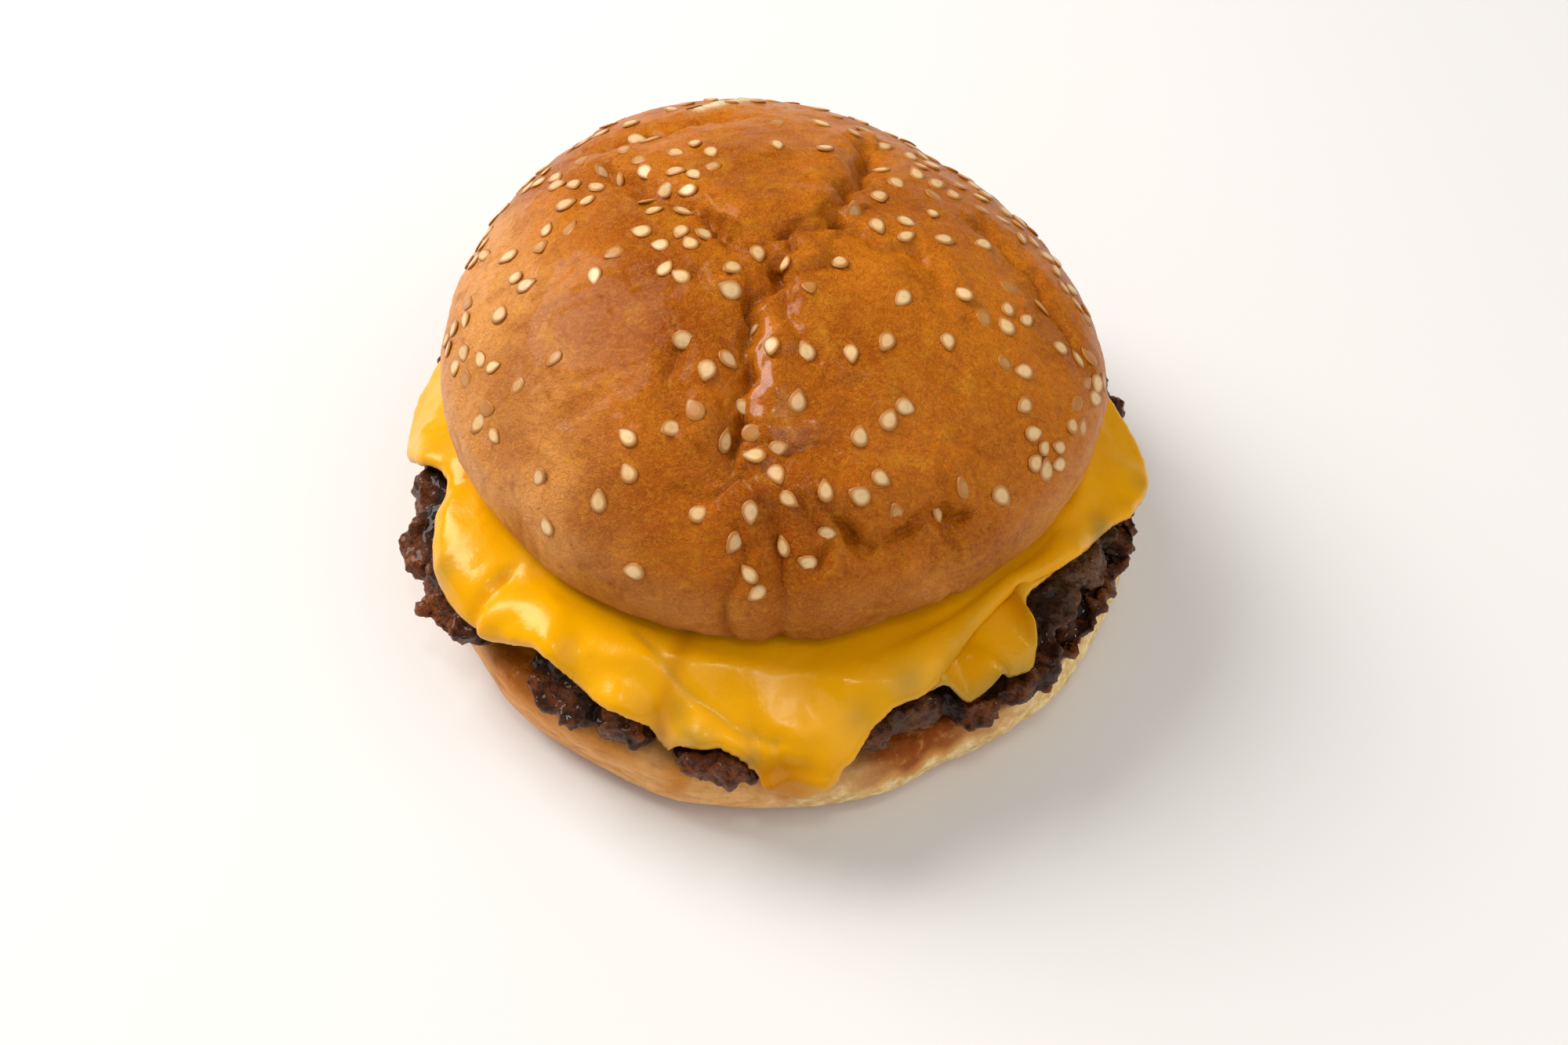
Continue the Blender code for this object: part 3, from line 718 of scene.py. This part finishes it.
def soft_bread(bun):
    """Bread baked against its neighbours: tan crust on one side, pale greasy fleecy crumb on the other."""
    material, tree, shader, (crumb, soak, stain) = start_material(
        "soft_bread", ("crumb", "soak", "stain"), IOR=1.4, Specular_IOR_Level=0.2,
        Subsurface_Weight=0.1, Subsurface_Scale=1.2 * MM, Subsurface_Radius=(1.0, 0.6, 0.3),
    )
    fleece = {"size": 1.8 * MM, "detail": 6.0, "rough": 0.7}
    streaks = patches(tree, 1.9 * MM, 0.4, 0.72, detail=6.0, rough=0.65, stretch=(0.35, 0.35, 1.4), bend=0.5)
    fleecy = patches(tree, low=0.35, high=0.65, **fleece)
    tone = layered(tree, bun.heel_light, (
        (streaks, 0.8, bun.heel_dark),
        # the crumb's darker tone is painted shade of its hollows
        (crumb, 1.0, layered(tree, bun.crumb_dark, ((fleecy, 1.0, bun.crumb_light),))),
        (stain, patches(tree, low=0.3, high=0.5, least=0.4, **fleece), bun.stain),
        (soak, patches(tree, low=0.3, high=0.5, least=0.5, **fleece), bun.grease),
    ))
    inputs = {"Value": crumb, "To Min": 0.46, "To Max": 0.85}
    dry = add_node(tree, "ShaderNodeMapRange", {"interpolation_type": "SMOOTHSTEP"}, inputs).outputs[0]
    dress(tree, shader, tone, weighed(tree, dry, ((soak, -0.3),)), (
        (grain(tree, **fleece), 0.3 * MM), (grain(tree, 0.6 * MM, detail=5.0), 0.12 * MM),
    ))
    return material


# ---- Pieces ----


def stray(plan):
    """How far a fold wanders off its route at each place, in mm."""
    x, y = plan.T
    return np.column_stack([
        0.5 * np.sin(0.9 * y + 0.4 * x) + 0.15 * np.sin(2.3 * y - 1.1 * x),
        0.5 * np.sin(0.8 * x - 0.5 * y + 1.3) + 0.15 * np.sin(2.1 * x + 1.5 * y),
    ])


def folds_at(plan):
    """How deep the crown's skin is folded at each place in mm, how much painted shade its creases and pits
    get, and how puckered.
    """
    depths = np.zeros(len(plan))
    dark = np.zeros(len(plan))
    puckered = np.zeros(len(plan))
    strayed = plan + stray(plan)
    for number, (depth, lip, left, right, route) in enumerate(FOLDS):
        away = off_route(strayed, rounded(route))
        uneven = 0.8 + 0.3 * np.sin(0.75 * plan[:, 1] + 0.6 * plan[:, 0] + 2.0 * number)
        valley = uneven * np.exp(-((np.abs(away) / np.where(away < 0.0, left, right)) ** 1.4))
        slit = uneven * bell(away, SLIT)
        crest = bell(away + left + 0.7, EDGE) + 0.6 * bell(away - 1.5, EDGE)
        depths += depth * (0.55 * valley + 0.55 * slit - 0.22 * crest) - lip * bell(away + left + LIP, LIP)
        # painted shade in the fold, deepest along its slit
        dark = np.maximum(dark, min(1.0, depth) * (0.4 * valley + 0.6 * slit))
        puckered = np.maximum(puckered, min(1.0, depth) * bell(away, PUCKER))
    for x, y, reach, depth in PITS:
        pit = spot_at(plan, x, y, reach)
        depths += depth * pit
        # painted shade in the pit
        dark = np.maximum(dark, pit)
    for x, y, reach, height in BLISTERS:
        depths -= height * spot_at(plan, x, y, reach)
    return depths, dark, puckered


class BURGER_OT_crown(bpy.types.Operator):
    """Folds and swells the bun's crown"""

    bl_idname = "burger.crown"
    bl_label = "Bun crown"

    def execute(self, context):
        bun = context.scene.burger_bun
        crown = copy_of("bun_crown", "bun_crown_baked")
        remesh(crown, bun.mesh_size)
        relax(crown, STEPS_GONE)
        shape_with(crown, "SUBSURF", levels=1, render_levels=1)
        places = points_of(crown)
        plan = places[:, :2] - CROWN_MIDDLE
        rise = places[:, 2] - CROWN_FOOT
        skin = ease(0.2, 2.0, rise)
        depths, dark, puckered = folds_at(plan)
        torn = bell(off_route(plan, rounded(TEAR)), TEAR_WIDTH) * skin
        roughen(crown, skin, "dough_swell", bun.dough_swell, 17 * MM, 1)
        roughen(crown, skin, "dough_lumps", 0.6 * MM, 6 * MM, 2)
        roughen(crown, skin, "skin_wrinkles", 0.36 * MM, 2.2 * MM, 3)
        roughen(crown, skin * puckered, "puckers", 0.55 * MM, 1.7 * MM, 2)
        carve(crown, skin * np.clip(depths, -HIGHEST, DEEPEST))
        roughen(crown, torn, "torn_crumb", 0.9 * MM, 1.4 * MM, 3, middle=0.1)
        relax(crown, 1)
        flank = ease(21.0, 34.0, -0.9 * plan[:, 0] - 0.3 * plan[:, 1])
        band = 1.0 - ease(4.0, 15.0, rise)
        paint(
            # the fold value is the painted shade of the creases and pits
            crown, fold=dark, bake=(1.0 - 0.8 * band) * (1.0 - 0.75 * flank), torn=1.3 * torn,
            # oven browning, with painted shade at the right top
            browned=np.max([share * spot_at(plan, x, y, reach) for x, y, reach, share in BROWNED_AND_SHADED], axis=0),
            wet=skin * np.max([
                share * bell(plan[:, 0] - x, across) * bell(plan[:, 1] - y, along)
                for x, y, across, along, share in WET
            ], axis=0),
        )
        finish_piece(crown, "bun_crown", egg_washed_crust(bun))
        return {"FINISHED"}


def model_seed(sesame):
    """One sesame seed, lying flat with its point along +X and a dished face, its rim marked."""
    bpy.ops.object.select_all(action="DESELECT")
    bpy.ops.mesh.primitive_uv_sphere_add(segments=14, ring_count=6, radius=0.5, location=(0, 0, 0))
    seed = bpy.context.active_object
    out = 2.0 * np.hypot(*read_vertices(seed, "co")[:, :2].T)
    for vertex, reach in zip(seed.data.vertices, out):
        x, y, z = vertex.co
        point = max(0.0, x) / 0.5
        blunt = max(0.0, -x) / 0.5
        dish = 1.0 - 0.42 * bell(reach, 0.6)
        vertex.co = (
            (x - 0.06 * blunt**4) * sesame.length * (1.0 - 0.14 * blunt**2 + 0.1 * point**4),
            y * sesame.width * (1.0 - 0.38 * point**1.3 + 0.22 * blunt * (1.0 - blunt)),
            z * sesame.thickness * dish * (1.0 - 0.3 * point**2),
        )
    paint(seed, rim=ease(0.7, 0.9, out))
    bpy.ops.object.shade_smooth()
    return seed


def strewn_places(chance):
    """Plan places of the seeds in mm from the crown's middle, kept apart from each other."""
    laid = []
    for x, y, *patch in STREWN:
        spread, count = patch or (0, 1)
        for _ in range(count):
            for _ in range(SEED_TRIES):
                turn = chance.uniform(0, math.tau)
                reach = spread * math.sqrt(chance.random())
                place = Vector((x + reach * math.cos(turn), y + reach * math.sin(turn)))
                if all((place - other).length > SEED_GAP for other in laid):
                    laid.append(place)
                    break
    return laid


class BURGER_OT_seeds(bpy.types.Operator):
    """Strews sesame seeds over the crown"""

    bl_idname = "burger.seeds"
    bl_label = "Sesame seeds"

    def execute(self, context):
        sesame = context.scene.burger_sesame
        chance = random.Random(SEED)
        crown = bpy.data.objects["bun_crown_baked"]
        tree = BVHTree.FromObject(crown, context.evaluated_depsgraph_get())
        seed = model_seed(sesame)
        copies = []
        for place in strewn_places(chance):
            x, y = (CROWN_MIDDLE + np.array(place)) * MM
            out = Vector((place.x, place.y, 0.0)) * MM * min(1.0, place.length / 47.0)
            start = Vector((x, y, 0.09)) + out
            hit, normal, _, _ = tree.ray_cast(start, (Vector((x, y, 0.04)) - start).normalized())
            if hit is None:
                hit, normal, _, _ = tree.find_nearest(Vector((x, y, 0.032)))
            across = normal.orthogonal().normalized()
            along = Matrix.Rotation(chance.uniform(0, math.tau), 3, normal) @ across
            along = (along + normal * chance.uniform(-0.12, 0.12)).normalized()
            side = normal.cross(along).normalized()
            size = chance.uniform(0.88, 1.1)
            up = along.cross(side) * size
            turned = Matrix((along * size, side * size * chance.uniform(0.9, 1.1), up)).transposed()
            glazed = chance.uniform(0.6, 1.0) if chance.random() < 0.22 else chance.uniform(0.0, 0.35)
            lift = sesame.thickness * (-0.08 if glazed > 0.5 else 0.14)
            copy = seed.copy()
            copy.data = seed.data.copy()
            copy.matrix_world = Matrix.Translation(hit + normal * lift) @ turned.to_4x4()
            context.scene.collection.objects.link(copy)
            paint(copy, glazed=np.full(len(copy.data.vertices), glazed))
            copies.append(copy)
        bpy.data.objects.remove(seed)
        bpy.ops.object.select_all(action="DESELECT")
        for copy in copies:
            copy.select_set(True)
        context.view_layer.objects.active = copies[0]
        bpy.ops.object.join()
        seeds = context.active_object
        seeds.name = "sesame_seeds"
        bpy.ops.object.transform_apply(location=True, rotation=True, scale=True)
        bpy.ops.object.mode_set(mode="EDIT")
        bpy.ops.mesh.select_all(action="SELECT")
        bpy.ops.mesh.normals_make_consistent(inside=False)
        bpy.ops.object.mode_set(mode="OBJECT")
        seeds.data.materials.clear()
        seeds.data.materials.append(sesame_hull(sesame))
        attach(seeds, "root")
        return {"FINISHED"}


def along_drape(radius, height):
    """Length in mm from the middle out over the patty's shoulder and down its side."""
    flat = RIM - SHOULDER
    foot = PATTY_TOP - DROP
    bend = np.arctan2((radius - flat) / SHOULDER, np.maximum((height - foot) / DROP, 0.01))
    arc = 0.5 * (SHOULDER + DROP) * np.clip(bend, 0.0, 0.5 * math.pi)
    return flat + np.where(radius > flat, arc, radius - flat) + np.clip(foot - height, 0.0, None)


def swelling(angle, along, table):
    """Sum of the table's swellings at each place of the drape."""
    total = np.zeros(len(angle))
    for centre, middle, across, down, height in table:
        away = np.radians(turn_from(angle, centre)) * SWELL_GIRTH
        total += height * np.exp(-((away / across) ** 2) - ((along - middle) / down) ** 2)
    return total


def ridge(angle, along, route, width, step=0.0):
    """1 on a route over the drape, fading over the width, and over width and step on its left."""
    flat = np.column_stack([np.radians(angle) * RIDGE_GIRTH, along])
    away = off_route(flat, rounded([(math.radians(a) * RIDGE_GIRTH, s) for a, s in route]))
    return bell(away, np.where(away < 0.0, width + step, width))


def wander(angle, along):
    """Slow unevenness between -1 and 1 over the drape."""
    a = np.radians(angle)
    waves = 0.5 * np.sin(7 * a + 0.21 * along) + 0.3 * np.sin(13 * a - 0.33 * along + 1.0)
    return waves + 0.2 * np.sin(23 * a + 2.0)


def melt_hem(piece, node, near):
    """Lets a slice's hem melt by its distance from the edge, and returns the angles it started from."""
    places = points_of(piece)
    angle, _ = polar_of(places)
    east, north, _ = heading(angle).T
    hem = 1.0 - ease(0.0, HEM, near)
    if node == "cheese_lower":
        bite = sum(rise * around(angle, a, w) for a, w, rise in MELTED_BITES) * hem
        slip = 3.6 * hem * around(angle, 321, 5) * ease(16.5, 21.0, places[:, 2])  # its corner slides round
        move(piece, np.column_stack([slip * north, -slip * east, bite]))
    else:
        sink = 1.9 * hem * ease(0.0, 1.0, 1.6 * around(angle, 309, 12))  # it clings to the slice below
        drip = 3.2 * (1.0 - ease(0.0, 3.5, near)) * around(angle, 254.2, 2.0)
        move(piece, np.column_stack([-sink * east, -sink * north, -0.3 * sink - drip]))
    return angle


class BURGER_OT_cheese(bpy.types.Operator):
    """Melts the two cheese slices over the meat"""

    bl_idname = "burger.cheese"
    bl_label = "Cheese slices"

    def execute(self, context):
        cheese = context.scene.burger_cheese
        for node, coarse in (("cheese_lower", 1.3), ("cheese_upper", 1.0)):
            piece = copy_of(node, node + "_melted")
            remesh(piece, coarse * cheese.mesh_size)
            relax(piece, STEPS_GONE)
            places = points_of(piece)
            angle, radius = polar_of(places)
            along = along_drape(radius, places[:, 2])
            free = ease(40.0, 46.0, along)
            lift = free * swelling(angle, along, CHEESE_SWELLS[node])
            for route, width, step, height in CHEESE_RIDGES[node]:
                lift += free * height * ridge(angle, along, route, width, step)
            lift += free * cheese.sag / MM * 0.5 * wander(angle, along)
            tilt = ease(RIM - SHOULDER, RIM, radius)[:, None]
            out = heading(angle) * tilt + UP * (1.0 - 0.55 * tilt)
            out /= np.linalg.norm(out, axis=1)[:, None]
            move(piece, out * lift[:, None])
            near = farthest(angle, along, 1.5) - along
            push(piece, free * bell(near - 0.8, 1.6), 0.32 * MM)  # the melted edge is a soft bead
            angle = melt_hem(piece, node, near)
            calm = 0.35 + 0.65 * np.clip(around(angle, 200, 22) + around(angle, 90, 70), 0.0, 1.0)
            roughen(piece, free * calm, "ripple_" + node, 0.5 * MM, 3.6 * MM, 1)
            relax(piece, 2)
            share, reach, centre, width = HEM_THIN[node]
            hem_thin = share * bell(near, reach) * around(angle, centre, width)
            thin = np.maximum(swelling(angle, along, CHEESE_THIN) * free, hem_thin)
            if node == "cheese_upper":
                # a thin line of painted shade along the slice's cut crease
                thin = np.maximum(thin, 0.3 * ridge(angle, along, SLICE_CUT, 0.35))
            # darker on the tongue's end, partly from fat run over it and partly as painted shade; also on the
            # drip
            oily = around(angle, 271, 6) * ease(51.0, 54.5, along) + 0.6 * around(angle, 254, 2)
            paint(piece, thin=thin, oily=oily)
            finish_piece(piece, node, melted_cheese(cheese, "melted_" + node))
        return {"FINISHED"}


def cheese_underside():
    """Lowest height of cheese, in mm, over each degree and half millimetre of radius."""
    low = np.full((360, 160), 99.0)
    for name in ("cheese_upper_melted", "cheese_lower_melted"):
        places = points_of(bpy.data.objects[name])
        angle, radius = polar_of(places)
        np.minimum.at(low, (angle.astype(int) % 360, (radius * 2).astype(int)), places[:, 2])
    for axis, shift in ((0, 1), (0, -1), (1, 1), (1, -1)):
        low = np.minimum(low, np.roll(low, shift, axis))
    return low


def pile_lumps(chance):
    """Adds lumps of mince round the rim of the mesh in edit mode, in one, two or three levels."""
    for start, end, out, size, *heights in CHUNKS:
        low, high = heights or LUMP_HEIGHTS
        middle = 0.5 * (low + high)
        levels = (middle,) if high - low < 2.6 * size else (low + size, middle, high - size)
        step = math.degrees(0.75 * size / out)
        turn = start + 0.5 * step
        while turn < end:
            for level in levels:
                a = math.radians(turn + chance.uniform(-0.6, 0.6))
                reach = out - size + chance.uniform(-0.9, 0.5)
                spot = MIDDLE + reach * np.array([math.cos(a), math.sin(a)])
                bpy.ops.mesh.primitive_ico_sphere_add(
                    subdivisions=3, radius=size * chance.uniform(0.75, 1.1) * MM,
                    location=(spot[0] * MM, spot[1] * MM, (level + chance.uniform(-0.5, 0.5)) * MM),
                    rotation=[chance.uniform(0, math.tau) for _ in range(3)],
                    scale=[chance.uniform(0.75, 1.2) for _ in range(3)],
                )
            turn += step


class BURGER_OT_patty(bpy.types.Operator):
    """Crumbles and sears the patty"""

    bl_idname = "burger.patty"
    bl_label = "Beef patty"

    def execute(self, context):
        beef = context.scene.burger_patty
        patty = copy_of("patty", "patty_seared")
        bpy.ops.object.mode_set(mode="EDIT")
        pile_lumps(random.Random(SEED + 1))
        bpy.ops.object.mode_set(mode="OBJECT")
        remesh(patty, 1.5 * beef.mesh_size)
        angle, radius = polar_of(points_of(patty))
        gap = sum(depth * around(angle, a, w) for a, w, depth in GAPS) * ease(46.0, 50.0, radius)
        move(patty, -gap[:, None] * heading(angle))
        remesh(patty, beef.mesh_size)

        # Mince, from clumps through granules to brittle crust.
        rim = ease(42.0, 46.0, polar_of(points_of(patty))[1])
        roughen(patty, rim, "clumps", 1.9 * MM, 4.0 * MM, 1)
        roughen(patty, rim, "granules", -2.1 * MM, beef.granule, 2, middle=0.4, basis="VORONOI_F1")
        roughen(patty, rim, "crust", 0.65 * MM, 1.1 * MM, 3)
        angle, _ = polar_of(points_of(patty))
        height, depth, centre, width = CLEFT
        level = points_of(patty)[:, 2] - height - 0.7 * np.sin(0.5 * angle) - 0.4 * np.sin(1.3 * angle)
        cleft = bell(level, 0.9) * ease(0.0, 1.0, 2.0 * around(angle, centre, width)) * rim
        push(patty, cleft, -depth * MM)

        # Its foot curls up off the heel at the front right.
        places = points_of(patty)
        curl = around(polar_of(places)[0], 293, 11) * (1.0 - ease(0.0, 3.0, places[:, 2] - PATTY_FOOT)) * rim
        inward = (MIDDLE - places[:, :2]) / np.linalg.norm(MIDDLE - places[:, :2], axis=1)[:, None]
        move(patty, np.column_stack([inward * 3.0 * curl[:, None], curl]))

        # The lumps stay under the cheese and over the heel.
        places = points_of(patty)
        angle, radius = polar_of(places)
        roof = cheese_underside()[angle.astype(int) % 360, (radius * 2).astype(int)] - 0.2
        over = np.clip(places[:, 2] - np.maximum(roof, PATTY_FOOT + 1.0), 0.0, None)
        over *= ease(40.0, 44.0, radius)
        under = np.clip(HEEL_TOP + 0.2 - places[:, 2], 0.0, None)
        move(patty, UP * (under - over)[:, None])
        weigh(patty, "hidden", 1.0 - ease(38.0, 44.0, radius))
        shape_with(patty, "DECIMATE", ratio=0.6, vertex_group="hidden", vertex_group_factor=10.0)

        places = points_of(patty)
        angle, radius = polar_of(places)
        sunk = farthest(angle, radius, 3.0) - radius
        hollows = cavity(patty)
        inner = around(angle, 333, 9) * ease(16.0, 18.5, places[:, 2]) + 0.45 * around(angle, 290, 6)
        paint(
            # crest is a painted highlight on the lumps' crests
            patty, inner=inner, crest=ease(0.1, 0.6, -hollows),
            rust=0.4 * around(angle, 200, 18) + 0.5 * around(angle, 262, 5) + 0.5 * around(angle, 212, 5),
            # pit is painted shade in hollows and in gaps set back from the rim
            pit=np.maximum(ease(2.0, 5.5, sunk) * (1.0 - inner), ease(0.05, 0.6, hollows)),
        )
        finish_piece(patty, "patty", seared_beef(beef))
        return {"FINISHED"}


def run_down(angle, depth, table):
    """How much fat has run down the heel's side at each place, by the table."""
    total = np.zeros(len(angle))
    for centre, width, share, full, end, wave, rate in table:
        edge = depth + wave * np.sin(rate * angle)
        total += share * around(angle, centre, width) * (1.0 - ease(full, end, edge))
    return total


class BURGER_OT_heel(bpy.types.Operator):
    """Roughens and stains the bun's heel"""

    bl_idname = "burger.heel"
    bl_label = "Bun heel"

    def execute(self, context):
        bun = context.scene.burger_bun
        heel = copy_of("bun_heel", "bun_heel_baked")
        remesh(heel, 1.3 * MM)
        relax(heel, 4)
        shape_with(heel, "SUBSURF", levels=1, render_levels=1)
        places = points_of(heel)
        angle, radius = polar_of(places)
        height = places[:, 2]
        depth = HEEL_TOP - height
        side = ease(46.0, 50.0, radius) * ease(0.4, 2.5, height)
        crumb = ease(0.0, 1.0, 2.2 * around(angle, 322, 44)) * ease(0.9, 2.0, height)
        crumb = np.maximum(crumb, 0.35 * around(angle, 262, 22) * ease(2.0, 4.0, height))
        roughen(heel, side, "heel_swell", 1.0 * MM, 13 * MM, 1)
        roughen(heel, side * crumb, "heel_fleece", 0.7 * MM, 1.7 * MM, 3)
        roughen(heel, side, "heel_creases", 0.25 * MM, 3.0 * MM, 2)
        soak = run_down(angle, depth, SOAKED) + ease(48.0, 49.5, radius) * run_down(angle, depth, SOAKED_EDGE)
        soak += 0.8 * ease(0.0, 1.0, 1.5 * around(angle, 320, 30)) * (1.0 - ease(0.2, 1.2, depth))
        paint(heel, crumb=crumb, soak=soak, stain=run_down(angle, depth, STAINED))
        finish_piece(heel, "bun_heel", soft_bread(bun))
        return {"FINISHED"}


class BURGER_OT_stage(bpy.types.Operator):
    """Sets the floor, the lights and the camera"""

    bl_idname = "burger.stage"
    bl_label = "Studio"

    def execute(self, context):
        scene = context.scene
        stage = scene.burger_stage
        bpy.ops.object.select_all(action="DESELECT")
        bpy.ops.mesh.primitive_plane_add(size=16.0, location=(0, 0, 0))
        floor = context.active_object
        floor.name = "studio_floor"
        material, _, shader, _ = start_material("painted_board", Roughness=0.9)
        shader.inputs["Base Color"].default_value = linear(stage.floor)
        floor.data.materials.append(material)

        world = bpy.data.worlds.new("studio_room")
        world.use_nodes = True
        background = world.node_tree.nodes["Background"]
        background.inputs["Color"].default_value = (1.0, 1.0, 1.0, 1.0)
        background.inputs["Strength"].default_value = stage.fill
        world.cycles_visibility.glossy = False
        scene.world = world
        scene.view_settings.view_transform = "Standard"

        for name, place, size, power in LIGHTS:
            bpy.ops.object.light_add(type="AREA", location=place)
            light = context.active_object
            light.name = name
            light.data.size = size
            light.data.energy = getattr(stage, power)
            aim = Vector((0, 0, 0.03)) - Vector(place)
            light.rotation_euler = aim.to_track_quat("-Z", "Y").to_euler()

        bpy.ops.object.camera_add()
        camera = context.active_object
        camera.name = "studio_camera"
        camera.data.lens = stage.lens
        camera.data.sensor_width = 36.0
        camera.data.clip_start = 0.01
        middle = Vector((*MIDDLE * MM, 0.0))
        turned = Matrix.Rotation(math.radians(90) - stage.tilt, 4, "X") @ Matrix.Rotation(stage.roll, 4, "Z")
        camera.matrix_world = Matrix.Translation(middle + Vector(stage.camera)) @ turned
        scene.camera = camera
        return {"FINISHED"}


class BURGER_PT_panel(bpy.types.Panel):
    """Lists the burger's makers"""

    bl_idname = "BURGER_PT_panel"
    bl_label = "Cheeseburger"
    bl_space_type = "VIEW_3D"
    bl_region_type = "UI"
    bl_category = "Burger"

    def draw(self, context):
        for maker in MAKERS:
            self.layout.operator(maker.bl_idname)
        for group in SETTINGS:
            box = self.layout.box()
            box.label(text=group)
            settings = getattr(context.scene, group)
            for name in settings.bl_rna.properties.keys():
                if name not in ("rna_type", "name"):
                    box.prop(settings, name)


MAKERS = (
    BURGER_OT_crown,
    BURGER_OT_seeds,
    BURGER_OT_cheese,
    BURGER_OT_patty,
    BURGER_OT_heel,
    BURGER_OT_stage,
)
SETTINGS = {
    "burger_bun": BunSettings,
    "burger_sesame": SesameSettings,
    "burger_cheese": CheeseSettings,
    "burger_patty": PattySettings,
    "burger_stage": StageSettings,
}


def register():
    for group, kind in SETTINGS.items():
        bpy.utils.register_class(kind)
        setattr(bpy.types.Scene, group, bpy.props.PointerProperty(type=kind))
    for kind in MAKERS + (BURGER_PT_panel,):
        bpy.utils.register_class(kind)


def unregister():
    for kind in (BURGER_PT_panel,) + MAKERS[::-1]:
        bpy.utils.unregister_class(kind)
    for group, kind in SETTINGS.items():
        delattr(bpy.types.Scene, group)
        bpy.utils.unregister_class(kind)


def main():
    register()
    bpy.ops.burger.crown()
    bpy.ops.burger.seeds()
    bpy.ops.burger.cheese()
    bpy.ops.burger.patty()
    bpy.ops.burger.heel()
    bpy.ops.burger.stage()


if __name__ == "__main__":
    main()
